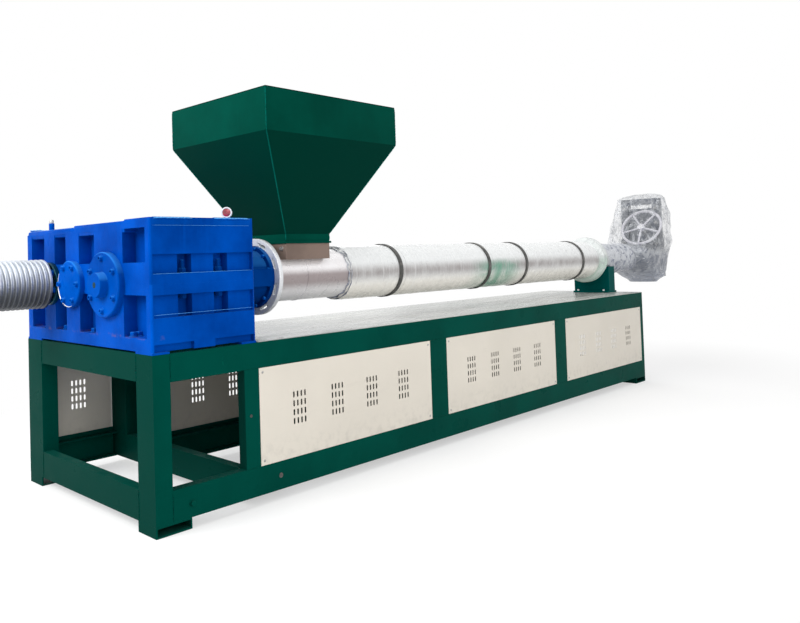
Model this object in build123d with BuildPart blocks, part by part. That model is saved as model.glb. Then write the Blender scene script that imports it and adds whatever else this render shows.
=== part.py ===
from build123d import *
import os
from math import cos, radians, sin

# Plastic pelletizing machine: a single-screw extruder on a welded steel bed.
# X runs along the screw from the drive end to the die, Y runs from the front to the back,
# and Z is up from the ground. The origin is the bottom centre of the whole machine.

# Bed
bed_height = 800.0
bed_width = 900.0
wing_length = 600.0
wing_past_gearbox = 6.0
foot_height = 50.0
foot_length = 190.0
foot_width = 150.0
foot_wall = 8.0
bottom_rail_height = 140.0
bottom_rail_depth = 58.0
top_rail_height = 126.0
top_rail_depth = 53.0
rail_wall = 8.0
corner_post_length = 90.0
corner_post_depth = 140.0
wing_post_depth = 170.0
end_post_length = 56.0
cross_rail_length = 58.0
deck_thickness = 4.0

# Cover panels and their vent slots
panel_length = 1376.0
panel_post_length = 168.0
panel_thickness = 3.0
panel_proud = 1.0
panel_clearance = 1.5
ledge_width = 25.0
ledge_thickness = 5.0
panel_count = 3
vent_group_pitch = 280.0
vent_groups = 4
vent_columns = 4
vent_rows = 4
vent_column_pitch = 26.0
vent_row_pitch = 45.0
vent_slot_length = 32.0
vent_slot_width = 12.0
vent_centre_height = 440.0
wing_vent_from_end = 295.0

# Gearbox
gearbox_length = 590.0
gearbox_width = 1290.0
gearbox_pad_height = 10.0
gearbox_front_height = 1405.0
gearbox_middle_height = 1385.0
gearbox_back_height = 1372.0
gearbox_front_block = 210.0
gearbox_middle_block = 700.0
gearbox_step_run = 26.0
gearbox_corner_radius = 12.0
gearbox_pocket_depth = 70.0
gearbox_band_depth = 20.0
back_rib_width = 65.0
split_band_half = 47.0
lower_pocket_bottom = 866.0
lower_band_bottom = 957.0
upper_band_top = 1240.0
upper_pocket_bottom = 1205.0
upper_pocket_top = 1362.0
toe_height = 34.0
toe_depth = 22.0
first_toe_length = 212.0
second_toe_start = 343.0

# Screw axis and shafts, measured from the front face of the bed
screw_from_front = 376.0
screw_height = 1105.0
middle_shaft_from_front = 728.0
input_shaft_from_front = 985.0
output_cap_radius = 155.0
output_cap_thickness = 32.0
output_hub_radius = 62.0
output_hub_length = 40.0
output_hub_bore = 14.0
middle_cap_radius = 118.0
middle_cap_thickness = 30.0
input_cap_radius = 114.0
input_cap_thickness = 26.0
input_neck_radius = 58.0
input_neck_length = 14.0
cap_edge = 5.0

# Belt pulley on the input shaft
shaft_radius = 32.0
shaft_clearance = 0.08
shaft_in_cap = 38.0
pulley_radius = 129.0
pulley_gap = 10.0
pulley_grooves = 10
groove_pitch = 25.5
groove_depth = 15.0
groove_mouth = 19.0
groove_floor = 9.0
end_rim_length = 9.5
pulley_hub_radius = 60.0
pulley_rim_wall = 22.0
pulley_web = 40.0

# Thrust housing, coupling ring and barrel
thrust_length = 310.0
thrust_radius = 150.0
thrust_flange_radius = 172.0
thrust_flange_thickness = 26.0
ring_radius = 212.0
ring_thickness = 28.0
ring_slots = 8
ring_slot_circle = 182.0
ring_slot_length = 62.0
ring_slot_width = 16.0
ring_hub_radius = 122.0
ring_hub_length = 24.0
curved_clearance = 0.3
barrel_radius = 100.0
barrel_bare_length = 602.0
barrel_seam_from_ring = 322.0
barrel_seam_width = 8.0
barrel_seam_depth = 3.0
cover_radius = 168.0
cover_end_radius = 163.0
cover_shoulder = 45.0
cover_gap = 2.0
cover_lengths = [510.0, 1016.0, 520.0, 936.0, 250.0]
strap_width = 34.0
strap_thickness = 5.0
end_flange_radius = 212.0
end_flange_thickness = 36.0
end_flange_gap = 6.0
adaptor_radius = 136.0
adaptor_length = 1190.0
adaptor_neck_radius = 112.0
adaptor_neck_length = 400.0
adaptor_neck_run = 60.0
saddle_length = 120.0
saddle_width = 330.0
saddle_from_flange = 90.0
saddle_foot_thickness = 16.0
saddle_foot_reach = 30.0

# Feed throat and hopper
throat_from_ring = 62.0
throat_length = 340.0
throat_width = 340.0
throat_bottom = 1196.0
throat_top = 1285.0
throat_wall = 45.0
feed_slot_width = 56.0
hopper_flange_thickness = 12.0
hopper_flange_reach = 8.0
hopper_length = 1000.0
hopper_width = 830.0
hopper_top = 2070.0
hopper_rim_height = 222.0
hopper_neck_height = 40.0
hopper_wall = 6.0

# Screen changer, handwheel and die
changer_length = 140.0
changer_width = 380.0
changer_bottom = 905.0
changer_block_top = 1290.0
changer_top = 1700.0
guide_width = 70.0
guide_thickness = 80.0
bridge_height = 60.0
slide_thickness = 40.0
slide_clearance = 0.3
slide_top = 1600.0
slide_bottom = 860.0
wheel_box_length = 110.0
wheel_box_width = 150.0
wheel_box_height = 130.0
wheel_box_over_neck = 36.0
wheel_tilt = 30.0
wheel_radius = 200.0
wheel_rim_radius = 13.0
wheel_spokes = 5
wheel_spoke_radius = 9.0
wheel_hub_radius = 32.0
wheel_hub_length = 46.0
wheel_shaft_radius = 16.0
wheel_shaft_length = 165.0
wheel_side_offset = -105.0
die_length = 160.0
die_radius = 150.0
die_outlet_radius = 75.0
die_outlet_bottom = 870.0

# Small fittings on the gearbox
gauge_radius = 27.0
gauge_thickness = 22.0
gauge_stem_radius = 9.0
gauge_stem_height = 24.0
gauge_from_end = 545.0
gauge_from_front = 150.0
gauge_turn = 45.0
breather_radius = 15.0
breather_height = 62.0
breather_from_end = 70.0
breather_from_back = 170.0

# Places worked out from the sizes above
bed_length = wing_length + panel_count * panel_length + (panel_count - 1) * panel_post_length
bed_length += end_post_length
wing_width = gearbox_width + wing_past_gearbox
pulley_length = pulley_grooves * groove_pitch + 2 * end_rim_length
pulley_reach = input_cap_thickness + input_neck_length + pulley_gap + pulley_length
ring_start = gearbox_length + thrust_length
barrel_start = ring_start + ring_thickness
cover_start = barrel_start + barrel_bare_length
cover_stop = cover_start + sum(cover_lengths)
flange_stop = cover_stop + 2 * end_flange_thickness + end_flange_gap
adaptor_stop = flange_stop + adaptor_length
changer_stop = adaptor_stop + changer_length
machine_length = pulley_reach + changer_stop + die_length
hopper_overhang = max(0.0, hopper_width / 2 - screw_from_front)
drive_end = pulley_reach - machine_length / 2
far_end = drive_end + bed_length
front = hopper_overhang - (hopper_overhang + wing_width + panel_proud) / 2
back = front + bed_width
wing_back = front + wing_width
wing_end = drive_end + wing_length
screw_y = front + screw_from_front
frame_top = bed_height - deck_thickness
bottom_rail_top = foot_height + bottom_rail_height
top_rail_bottom = frame_top - top_rail_height
post_height = top_rail_bottom - bottom_rail_top
full_post_height = frame_top - foot_height
step_rail_start = wing_end - corner_post_length
gearbox_bottom = frame_top + gearbox_pad_height
wheel_box_bottom = screw_height + adaptor_neck_radius + wheel_box_over_neck
wheel_box_centre_height = wheel_box_bottom + wheel_box_height / 2
LOW = (Align.MIN, Align.MIN, Align.MIN)


def save(part, name):
    """Label one finished piece and write it under its own name."""
    part.label = name
    export_step(part, f"parts/{name}.step")


def block(x, y, z, length, width, height, mode=Mode.ADD):
    """Add a block to the open part, from its lowest corner."""
    with Locations((x, y, z)):
        Box(length, width, height, align=LOW, mode=mode)


def channel_x(start, length, outer_y, inward, low_z, height, depth):
    """Add a channel that runs along X, with its web on outer_y and its flanges inward."""
    low_y = outer_y if inward > 0 else outer_y - depth
    block(start, low_y, low_z, length, depth, height)
    hollow_y = low_y + rail_wall if inward > 0 else low_y
    block(start, hollow_y, low_z + rail_wall, length, depth - rail_wall,
          height - 2 * rail_wall, Mode.SUBTRACT)


def channel_y(start, length, outer_x, inward, low_z, height, depth):
    """Add a channel that runs along Y, with its web on outer_x and its flanges inward."""
    low_x = outer_x if inward > 0 else outer_x - depth
    block(low_x, start, low_z, depth, length, height)
    hollow_x = low_x + rail_wall if inward > 0 else low_x
    block(hollow_x, start, low_z + rail_wall, depth - rail_wall, length,
          height - 2 * rail_wall, Mode.SUBTRACT)


os.makedirs("parts", exist_ok=True)

# Panel bays along the narrow bed
bay_starts = [wing_end + n * (panel_length + panel_post_length) for n in range(panel_count)]
ledge_front = panel_thickness - panel_proud


# Long rails of the narrow bed, front and back
rail_start = drive_end + corner_post_length
rail_length = bed_length - corner_post_length - end_post_length
back_rail_start = step_rail_start + cross_rail_length
back_rail_length = far_end - end_post_length - back_rail_start


def long_rails(low_z, height, rail_depth):
    """Add the front and the back rail of one level to the open part."""
    channel_x(rail_start, rail_length, front, 1, low_z, height, rail_depth)
    channel_x(back_rail_start, back_rail_length, back, -1, low_z, height, rail_depth)


with BuildPart() as bottom_rails:
    long_rails(foot_height, bottom_rail_height, bottom_rail_depth)
save(bottom_rails.part, "bottom_rails")

with BuildPart() as top_rails:
    long_rails(top_rail_bottom, top_rail_height, top_rail_depth)
save(top_rails.part, "top_rails")

# Back rails of the wide bay under the gearbox
wing_rail_length = wing_length - 2 * corner_post_length
wing_bay_start = drive_end + corner_post_length
with BuildPart() as wing_rails:
    channel_x(wing_bay_start, wing_rail_length, wing_back, -1, foot_height, bottom_rail_height,
              bottom_rail_depth)
    channel_x(wing_bay_start, wing_rail_length, wing_back, -1, top_rail_bottom, top_rail_height,
              top_rail_depth)
save(wing_rails.part, "wing_rails")

# Strips on the rails, behind the long edges of every panel
ledge_rows = [(start, panel_length, front + ledge_front) for start in bay_starts]
ledge_rows += [(start, panel_length, back - ledge_front - ledge_thickness) for start in bay_starts]
ledge_rows += [(wing_bay_start, wing_rail_length, wing_back - ledge_front - ledge_thickness)]
with BuildPart() as panel_ledges:
    for start, length, low_y in ledge_rows:
        for low_z in (bottom_rail_top, top_rail_bottom - ledge_width):
            block(start, low_y, low_z, length, ledge_thickness, ledge_width)
save(panel_ledges.part, "panel_ledges")

# Posts: the corner ones run the full height, the others stand between the rails
middle_posts = [(step_rail_start, corner_post_length)]
middle_posts += [(start - panel_post_length, panel_post_length) for start in bay_starts[1:]]
with BuildPart() as bed_posts:
    block(drive_end, front, foot_height, corner_post_length, corner_post_depth, full_post_height)
    for start, length in middle_posts:
        for y in (front, back - top_rail_depth):
            block(start, y, bottom_rail_top, length, top_rail_depth, post_height)
    for y in (front, back - corner_post_depth):
        block(far_end - end_post_length, y, foot_height, end_post_length, corner_post_depth,
              full_post_height)
    for start in (drive_end, step_rail_start):
        block(start, wing_back - wing_post_depth, foot_height, corner_post_length, wing_post_depth,
              full_post_height)
save(bed_posts.part, "bed_posts")

# Cross rails, low and high: drive end, step, under each panel post and far end
wing_inner = wing_back - wing_post_depth
post_centres = [start - panel_post_length / 2 for start in bay_starts[1:]]


def cross_rails(low_z, height, rail_depth):
    """Add every cross rail of one level to the open part."""
    end_start = front + corner_post_depth
    channel_y(end_start, wing_inner - end_start, drive_end, 1, low_z, height, cross_rail_length)
    inner = front + rail_depth
    channel_y(inner, wing_inner - inner, step_rail_start, 1, low_z, height, cross_rail_length)
    for centre in post_centres:
        channel_y(inner, bed_width - 2 * rail_depth, centre - cross_rail_length / 2, 1, low_z,
                  height, cross_rail_length)
    channel_y(end_start, bed_width - 2 * corner_post_depth, far_end, -1, low_z, height,
              cross_rail_length)


with BuildPart() as bottom_cross_rails:
    cross_rails(foot_height, bottom_rail_height, bottom_rail_depth)
save(bottom_cross_rails.part, "bottom_cross_rails")

with BuildPart() as top_cross_rails:
    cross_rails(top_rail_bottom, top_rail_height, top_rail_depth)
save(top_cross_rails.part, "top_cross_rails")

# Feet: short lengths of tube, open to the front and the back
foot_places = [(drive_end, front), (drive_end, wing_back - foot_width),
               (far_end - foot_length, front), (far_end - foot_length, back - foot_width)]
with BuildPart() as feet:
    for x, y in foot_places:
        block(x, y, 0, foot_length, foot_width, foot_height)
        block(x + foot_wall, y, foot_wall, foot_length - 2 * foot_wall, foot_width,
              foot_height - 2 * foot_wall, Mode.SUBTRACT)
save(feet.part, "feet")

with BuildPart() as deck_plate:
    block(wing_end, front, frame_top, bed_length - wing_length, bed_width, deck_thickness)
save(deck_plate.part, "deck_plate")

# Cover panels with groups of upright vent slots
panel_bottom = bottom_rail_top + panel_clearance
panel_height = post_height - 2 * panel_clearance
slot_high = vent_centre_height - (panel_bottom + panel_height / 2)


def panel(name, start, length, outer_y, outward, group_centres):
    """Make one cover panel let into its bay, with a group of slots at each centre."""
    plate_length = length - 2 * panel_clearance
    back_y = outer_y - outward * ledge_front
    with BuildPart() as plate:
        with BuildSketch(Plane((start + length / 2, back_y, panel_bottom + panel_height / 2),
                               x_dir=(1, 0, 0), z_dir=(0, outward, 0))):
            Rectangle(plate_length, panel_height)
            with Locations(*[(centre, -outward * slot_high) for centre in group_centres]):
                with GridLocations(vent_column_pitch, vent_row_pitch, vent_columns, vent_rows):
                    SlotOverall(vent_slot_length, vent_slot_width, rotation=90, mode=Mode.SUBTRACT)
        extrude(amount=panel_thickness)
    save(plate.part, name)


group_centres = [(n - (vent_groups - 1) / 2) * vent_group_pitch for n in range(vent_groups)]
for number, start in enumerate(bay_starts, 1):
    panel(f"front_panel_{number}", start, panel_length, front, -1, group_centres)
    panel(f"back_panel_{number}", start, panel_length, back, 1, group_centres)
wing_vent_centre = drive_end + wing_vent_from_end - (wing_bay_start + wing_rail_length / 2)
panel("wing_panel", wing_bay_start, wing_rail_length, wing_back, 1, [wing_vent_centre])

with BuildPart() as step_cover:
    cover_edge = back + panel_proud + panel_clearance
    block(wing_end, cover_edge, foot_height, panel_thickness, wing_back - cover_edge, full_post_height)
save(step_cover.part, "step_cover")

# Gearbox casing in two halves, split on the level of the shafts
shaft_ribs = [(0, 40), (235, 505), (665, 812), (940, 1063), (gearbox_width - back_rib_width, gearbox_width)]
pocket_spans = [(shaft_ribs[n][1], shaft_ribs[n + 1][0]) for n in range(len(shaft_ribs) - 1)]
side_pockets = [(154, 231), (356, 439)]
gearbox_end = drive_end + gearbox_length
gearbox_back = front + gearbox_width


def casing_pockets(pocket_low, pocket_high, band_low, band_high):
    """Cut the pockets between the ribs of one casing half out of the open part."""
    for low, high in pocket_spans:
        for x in (drive_end, gearbox_end - gearbox_pocket_depth):
            block(x, front + low, pocket_low, gearbox_pocket_depth, high - low,
                  pocket_high - pocket_low, Mode.SUBTRACT)
    band_start = drive_end + gearbox_corner_radius
    band_length = gearbox_length - 2 * gearbox_corner_radius
    for y in (front, gearbox_back - gearbox_band_depth):
        block(band_start, y, band_low, band_length, gearbox_band_depth, band_high - band_low,
              Mode.SUBTRACT)
    for low, high in side_pockets:
        for y in (front, gearbox_back - gearbox_pocket_depth):
            block(drive_end + low, y, band_low, high - low, gearbox_pocket_depth,
                  band_high - band_low, Mode.SUBTRACT)


def upright_edges(height):
    """Pick the open part's outer upright edges of one height."""
    return [edge for edge in edges().filter_by(Axis.Z) if abs(edge.length - height) < 0.01]


with BuildPart() as gearbox_base:
    base_height = screw_height - gearbox_bottom
    block(drive_end, front, gearbox_bottom, gearbox_length, gearbox_width, base_height)
    fillet(upright_edges(base_height), gearbox_corner_radius)
    casing_pockets(lower_pocket_bottom, screw_height - split_band_half, lower_band_bottom,
                   screw_height - split_band_half)
    second_toe_length = gearbox_length - second_toe_start - gearbox_corner_radius
    for x, length in ((gearbox_corner_radius, first_toe_length), (second_toe_start, second_toe_length)):
        for y in (front, gearbox_back - toe_depth):
            block(drive_end + x, y, gearbox_bottom, length, toe_depth, toe_height, Mode.SUBTRACT)
    pads = [(front, corner_post_depth), (gearbox_back - wing_post_depth, wing_post_depth)]
    for x in (drive_end, gearbox_end - corner_post_length):
        for y, width in pads:
            block(x, y, frame_top, corner_post_length, width, gearbox_pad_height)
save(gearbox_base.part, "gearbox_base")

with BuildPart() as gearbox_cover:
    with BuildSketch(Plane.YZ.offset(drive_end)):
        with BuildLine():
            Polyline(
                (front, screw_height),
                (front, gearbox_front_height),
                (front + gearbox_front_block, gearbox_front_height),
                (front + gearbox_front_block + gearbox_step_run, gearbox_middle_height),
                (front + gearbox_middle_block, gearbox_middle_height),
                (front + gearbox_middle_block + gearbox_step_run, gearbox_back_height),
                (gearbox_back, gearbox_back_height),
                (gearbox_back, screw_height),
                close=True,
            )
        make_face()
    extrude(amount=gearbox_length)
    outer = edges().filter_by(Axis.Z)
    fillet(outer, gearbox_corner_radius)
    casing_pockets(upper_pocket_bottom, upper_pocket_top, screw_height + split_band_half,
                   upper_band_top)
save(gearbox_cover.part, "gearbox_cover")


def round_piece(x, y, outline):
    """Turn an outline of (along, radius) points about a shaft line parallel to X."""
    with BuildSketch(Plane((x, y, screw_height), x_dir=(1, 0, 0), z_dir=(0, -1, 0))) as profile:
        with BuildLine():
            Polyline(*outline, close=True)
        make_face()
    revolve(profile.sketch, axis=Axis((x, y, screw_height), (1, 0, 0)))


# Bearing caps on the drive end of the gearbox
middle_y = front + middle_shaft_from_front
input_y = front + input_shaft_from_front
with BuildPart() as output_cap:
    round_piece(drive_end, screw_y, [
        (0, 0), (0, output_cap_radius), (-output_cap_thickness + cap_edge, output_cap_radius),
        (-output_cap_thickness, output_cap_radius - cap_edge), (-output_cap_thickness, output_hub_radius),
        (-output_cap_thickness - output_hub_length, output_hub_radius - cap_edge),
        (-output_cap_thickness - output_hub_length, output_hub_bore),
        (-output_cap_thickness, output_hub_bore), (-output_cap_thickness, 0)])
save(output_cap.part, "output_cap")

with BuildPart() as middle_cap:
    round_piece(drive_end, middle_y, [
        (0, 0), (0, middle_cap_radius), (-middle_cap_thickness + cap_edge, middle_cap_radius),
        (-middle_cap_thickness, middle_cap_radius - cap_edge), (-middle_cap_thickness, 0)])
save(middle_cap.part, "middle_cap")

input_cap_depth = input_cap_thickness + input_neck_length
shaft_bore = shaft_radius + shaft_clearance
with BuildPart() as input_cap:
    round_piece(drive_end, input_y, [
        (0, shaft_bore), (0, input_cap_radius), (-input_cap_thickness + cap_edge, input_cap_radius),
        (-input_cap_thickness, input_cap_radius - cap_edge), (-input_cap_thickness, input_neck_radius),
        (-input_cap_depth, input_neck_radius - cap_edge), (-input_cap_depth, shaft_bore)])
save(input_cap.part, "input_cap")

# Input shaft and its belt pulley, which turn together
shaft_start = drive_end - input_cap_depth + shaft_in_cap
pulley_start = drive_end - input_cap_depth - pulley_gap
pulley_end = pulley_start - pulley_length
with BuildPart() as input_shaft:
    with BuildSketch(Plane((shaft_start, input_y, screw_height), x_dir=(0, 1, 0), z_dir=(-1, 0, 0))):
        Circle(shaft_radius)
    extrude(amount=shaft_start - pulley_end)
save(input_shaft.part, "input_shaft")

rim_bottom = pulley_radius - groove_depth
with BuildPart() as drive_pulley:
    outline = [(0, shaft_radius), (0, pulley_hub_radius), (-pulley_web, pulley_hub_radius),
               (-pulley_web, rim_bottom - pulley_rim_wall), (0, rim_bottom - pulley_rim_wall)]
    outline += [(0, pulley_radius)]
    for n in range(pulley_grooves):
        centre = -end_rim_length - (n + 0.5) * groove_pitch
        outline += [(centre + groove_mouth / 2, pulley_radius), (centre + groove_floor / 2, rim_bottom),
                    (centre - groove_floor / 2, rim_bottom), (centre - groove_mouth / 2, pulley_radius)]
    outline += [(-pulley_length, pulley_radius), (-pulley_length, rim_bottom - pulley_rim_wall),
                (-pulley_length + pulley_web, rim_bottom - pulley_rim_wall),
                (-pulley_length + pulley_web, pulley_hub_radius), (-pulley_length, pulley_hub_radius),
                (-pulley_length, shaft_radius)]
    round_piece(pulley_start, input_y, outline)
save(drive_pulley.part, "drive_pulley")

# Thrust housing between the gearbox and the barrel
with BuildPart() as thrust_housing:
    round_piece(gearbox_end, screw_y, [
        (0, 0), (0, thrust_radius), (thrust_length - thrust_flange_thickness, thrust_radius),
        (thrust_length - thrust_flange_thickness, thrust_flange_radius),
        (thrust_length, thrust_flange_radius), (thrust_length, 0)])
    block(gearbox_end, screw_y - thrust_flange_radius, screw_height - split_band_half,
          thrust_length - thrust_flange_thickness, 2 * thrust_flange_radius, 2 * split_band_half)
save(thrust_housing.part, "thrust_housing")

ring_x = drive_end + ring_start
with BuildPart() as coupling_ring:
    round_piece(ring_x, screw_y, [
        (0, 0), (0, ring_radius), (ring_thickness, ring_radius), (ring_thickness, 0)])
    with BuildSketch(Plane((ring_x, screw_y, screw_height), x_dir=(0, 1, 0), z_dir=(1, 0, 0))):
        with PolarLocations(ring_slot_circle, ring_slots, start_angle=180 / ring_slots):
            SlotOverall(ring_slot_length, ring_slot_width, rotation=90)
    extrude(amount=ring_thickness, mode=Mode.SUBTRACT)
save(coupling_ring.part, "coupling_ring")

# Barrel: a bare feed section, then the long one under covers
barrel_x = drive_end + barrel_start
barrel_length = cover_stop - barrel_start
seam_start = barrel_seam_from_ring
seam_stop = seam_start + barrel_seam_width
throat_x = barrel_x + throat_from_ring
with BuildPart() as feed_section:
    round_piece(barrel_x, screw_y, [
        (0, 0), (0, ring_hub_radius), (ring_hub_length, ring_hub_radius - cap_edge),
        (ring_hub_length, barrel_radius), (seam_start, barrel_radius),
        (seam_start, barrel_radius - barrel_seam_depth), (seam_stop, barrel_radius - barrel_seam_depth),
        (seam_stop, barrel_radius), (barrel_bare_length, barrel_radius), (barrel_bare_length, 0)])
    block(throat_x + throat_wall, screw_y - feed_slot_width / 2, screw_height,
          throat_length - 2 * throat_wall, feed_slot_width, barrel_radius, Mode.SUBTRACT)
save(feed_section.part, "feed_section")

with BuildPart() as barrel:
    round_piece(barrel_x, screw_y, [
        (barrel_bare_length, 0), (barrel_bare_length, barrel_radius), (barrel_length, barrel_radius),
        (barrel_length, 0)])
save(barrel.part, "barrel")

cover_bore = barrel_radius + curved_clearance
with BuildPart() as barrel_covers:
    cover_x = drive_end + cover_start
    for length in cover_lengths:
        reach = length - cover_gap
        round_piece(cover_x, screw_y, [
            (0, cover_bore), (0, cover_end_radius), (cover_shoulder, cover_radius),
            (reach - cover_shoulder, cover_radius), (reach, cover_end_radius), (reach, cover_bore)])
        cover_x += length
save(barrel_covers.part, "barrel_covers")

strap_bore = cover_radius + curved_clearance
with BuildPart() as barrel_straps:
    strap_x = drive_end + cover_start
    for length in cover_lengths[:-1]:
        strap_x += length
        round_piece(strap_x - cover_shoulder - strap_width, screw_y, [
            (0, strap_bore), (0, strap_bore + strap_thickness),
            (strap_width, strap_bore + strap_thickness), (strap_width, strap_bore)])
save(barrel_straps.part, "barrel_straps")

flange_x = drive_end + cover_stop
flange_pair = 2 * end_flange_thickness + end_flange_gap
with BuildPart() as end_flange:
    round_piece(flange_x, screw_y, [
        (0, 0), (0, end_flange_radius), (end_flange_thickness, end_flange_radius),
        (end_flange_thickness, adaptor_radius), (end_flange_thickness + end_flange_gap, adaptor_radius),
        (end_flange_thickness + end_flange_gap, end_flange_radius), (flange_pair, end_flange_radius),
        (flange_pair, 0)])
save(end_flange.part, "end_flange")

adaptor_x = drive_end + flange_stop
with BuildPart() as adaptor:
    round_piece(adaptor_x, screw_y, [
        (0, 0), (0, adaptor_radius),
        (adaptor_length - adaptor_neck_length - adaptor_neck_run, adaptor_radius),
        (adaptor_length - adaptor_neck_length, adaptor_neck_radius),
        (adaptor_length, adaptor_neck_radius), (adaptor_length, 0)])
save(adaptor.part, "adaptor")

# Saddle that carries the barrel's end on the deck
saddle_x = adaptor_x + saddle_from_flange
with BuildPart() as barrel_saddle:
    block(saddle_x, screw_y - saddle_width / 2, bed_height, saddle_length, saddle_width,
          screw_height - adaptor_radius * 0.5 - bed_height)
    block(saddle_x - saddle_foot_reach, screw_y - saddle_width / 2, bed_height,
          saddle_length + 2 * saddle_foot_reach, saddle_width, saddle_foot_thickness)
    with BuildSketch(Plane((saddle_x, screw_y, screw_height), x_dir=(0, 1, 0), z_dir=(1, 0, 0))):
        Circle(adaptor_radius + curved_clearance)
    extrude(amount=saddle_length, mode=Mode.SUBTRACT)
save(barrel_saddle.part, "barrel_saddle")

# Feed throat on the barrel and the hopper above it
throat_y = screw_y - throat_width / 2
with BuildPart() as feed_throat:
    block(throat_x, throat_y, throat_bottom, throat_length, throat_width, throat_top - throat_bottom)
    block(throat_x + throat_wall, throat_y + throat_wall, screw_height + barrel_radius + throat_wall / 2,
          throat_length - 2 * throat_wall, throat_width - 2 * throat_wall,
          throat_top - screw_height - barrel_radius, Mode.SUBTRACT)
    block(throat_x + throat_wall, screw_y - feed_slot_width / 2, throat_bottom,
          throat_length - 2 * throat_wall, feed_slot_width, throat_top - throat_bottom, Mode.SUBTRACT)
    with BuildSketch(Plane((throat_x, screw_y, screw_height), x_dir=(0, 1, 0), z_dir=(1, 0, 0))):
        Circle(barrel_radius + curved_clearance)
    extrude(amount=throat_length, mode=Mode.SUBTRACT)
save(feed_throat.part, "feed_throat")

hopper_x = throat_x + throat_length / 2
neck_bottom = throat_top + hopper_flange_thickness
taper_bottom = neck_bottom + hopper_neck_height
rim_low = hopper_top - hopper_rim_height


def hopper_form(inset, mode):
    """Add or cut the hopper's rim, taper and neck, drawn in by inset."""
    with BuildSketch(Plane((hopper_x, screw_y, throat_top))) as neck:
        Rectangle(throat_length - 2 * inset, throat_width - 2 * inset)
    extrude(neck.sketch, amount=taper_bottom - throat_top, mode=mode)
    with BuildSketch(Plane((hopper_x, screw_y, taper_bottom))) as taper_low:
        Rectangle(throat_length - 2 * inset, throat_width - 2 * inset)
    with BuildSketch(Plane((hopper_x, screw_y, rim_low))) as rim:
        Rectangle(hopper_length - 2 * inset, hopper_width - 2 * inset)
    loft([taper_low.sketch.face(), rim.sketch.face()], mode=mode)
    extrude(rim.sketch, amount=hopper_rim_height, mode=mode)


with BuildPart() as hopper:
    hopper_form(0, Mode.ADD)
    with BuildSketch(Plane((hopper_x, screw_y, throat_top))):
        Rectangle(throat_length + 2 * hopper_flange_reach, throat_width + 2 * hopper_flange_reach)
    extrude(amount=hopper_flange_thickness)
    hopper_form(hopper_wall, Mode.SUBTRACT)
save(hopper.part, "hopper")

# Screen changer: a block on the barrel line with upright guides and a slide plate
changer_x = drive_end + adaptor_stop
guide_x = changer_x + (changer_length - guide_thickness) / 2
slide_x = changer_x + (changer_length - slide_thickness) / 2
slide_width = changer_width - 2 * guide_width
slot_width = slide_width + 2 * slide_clearance
slot_length = slide_thickness + 2 * slide_clearance
with BuildPart() as changer_block:
    block(changer_x, screw_y - changer_width / 2, changer_bottom, changer_length, changer_width,
          changer_block_top - changer_bottom)
    block(slide_x - slide_clearance, screw_y - slot_width / 2, changer_bottom, slot_length, slot_width,
          changer_block_top - changer_bottom, Mode.SUBTRACT)
    fillet(edges().filter_by(Axis.Z).group_by(Axis.X)[0], cap_edge)
save(changer_block.part, "changer_block")

with BuildPart() as changer_frame:
    for y in (screw_y - changer_width / 2, screw_y + changer_width / 2 - guide_width):
        block(guide_x, y, changer_block_top, guide_thickness, guide_width,
              changer_top - changer_block_top)
    block(guide_x, screw_y - changer_width / 2, changer_top - bridge_height, guide_thickness,
          changer_width, bridge_height)
save(changer_frame.part, "changer_frame")

with BuildPart() as slide_plate:
    block(slide_x, screw_y - slide_width / 2, slide_bottom, slide_thickness, slide_width,
          slide_top - slide_bottom)
save(slide_plate.part, "slide_plate")

# Handwheel: its axis leans up towards the drive end
wheel_y = screw_y + wheel_side_offset
tilt = radians(wheel_tilt)
shaft_foot = Vector(changer_x - wheel_box_length / 2, wheel_y, wheel_box_centre_height)
wheel_axis = Vector(-cos(tilt), 0, sin(tilt))
wheel_centre = shaft_foot + wheel_axis * wheel_shaft_length
wheel_plane = Plane(wheel_centre, x_dir=(0, 1, 0), z_dir=wheel_axis)
shaft_plane = Plane(shaft_foot, x_dir=(0, 1, 0), z_dir=wheel_axis)

with BuildPart() as wheel_box:
    block(changer_x - wheel_box_length, wheel_y - wheel_box_width / 2,
          wheel_box_centre_height - wheel_box_height / 2, wheel_box_length, wheel_box_width,
          wheel_box_height)
    fillet(edges().filter_by(Axis.Y).group_by(Axis.X)[0], 20)
    with BuildSketch(shaft_plane.offset(-curved_clearance)):
        Circle(wheel_shaft_radius + shaft_clearance)
    extrude(amount=wheel_shaft_length, mode=Mode.SUBTRACT)
save(wheel_box.part, "wheel_box")

with BuildPart() as wheel_shaft:
    with BuildSketch(shaft_plane):
        Circle(wheel_shaft_radius)
    extrude(amount=wheel_shaft_length + wheel_hub_length / 2)
save(wheel_shaft.part, "wheel_shaft")

with BuildPart() as handwheel:
    with BuildSketch(Plane(wheel_centre, x_dir=wheel_axis, z_dir=(0, 1, 0))):
        with Locations((0, wheel_radius - wheel_rim_radius)):
            Circle(wheel_rim_radius)
    revolve(axis=Axis(wheel_centre, wheel_axis))
    with BuildSketch(wheel_plane.offset(-wheel_hub_length / 2)):
        Circle(wheel_hub_radius)
    extrude(amount=wheel_hub_length)
    for n in range(wheel_spokes):
        turn = radians(90 + 360 * n / wheel_spokes)
        spoke_dir = wheel_plane.x_dir * cos(turn) + wheel_plane.y_dir * sin(turn)
        with BuildSketch(Plane(wheel_centre, x_dir=wheel_axis, z_dir=spoke_dir)):
            Circle(wheel_spoke_radius)
        extrude(amount=wheel_radius - wheel_rim_radius)
    with BuildSketch(wheel_plane.offset(-wheel_hub_length / 2)):
        Circle(wheel_shaft_radius)
    extrude(amount=wheel_hub_length, mode=Mode.SUBTRACT)
save(handwheel.part, "handwheel")

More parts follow.
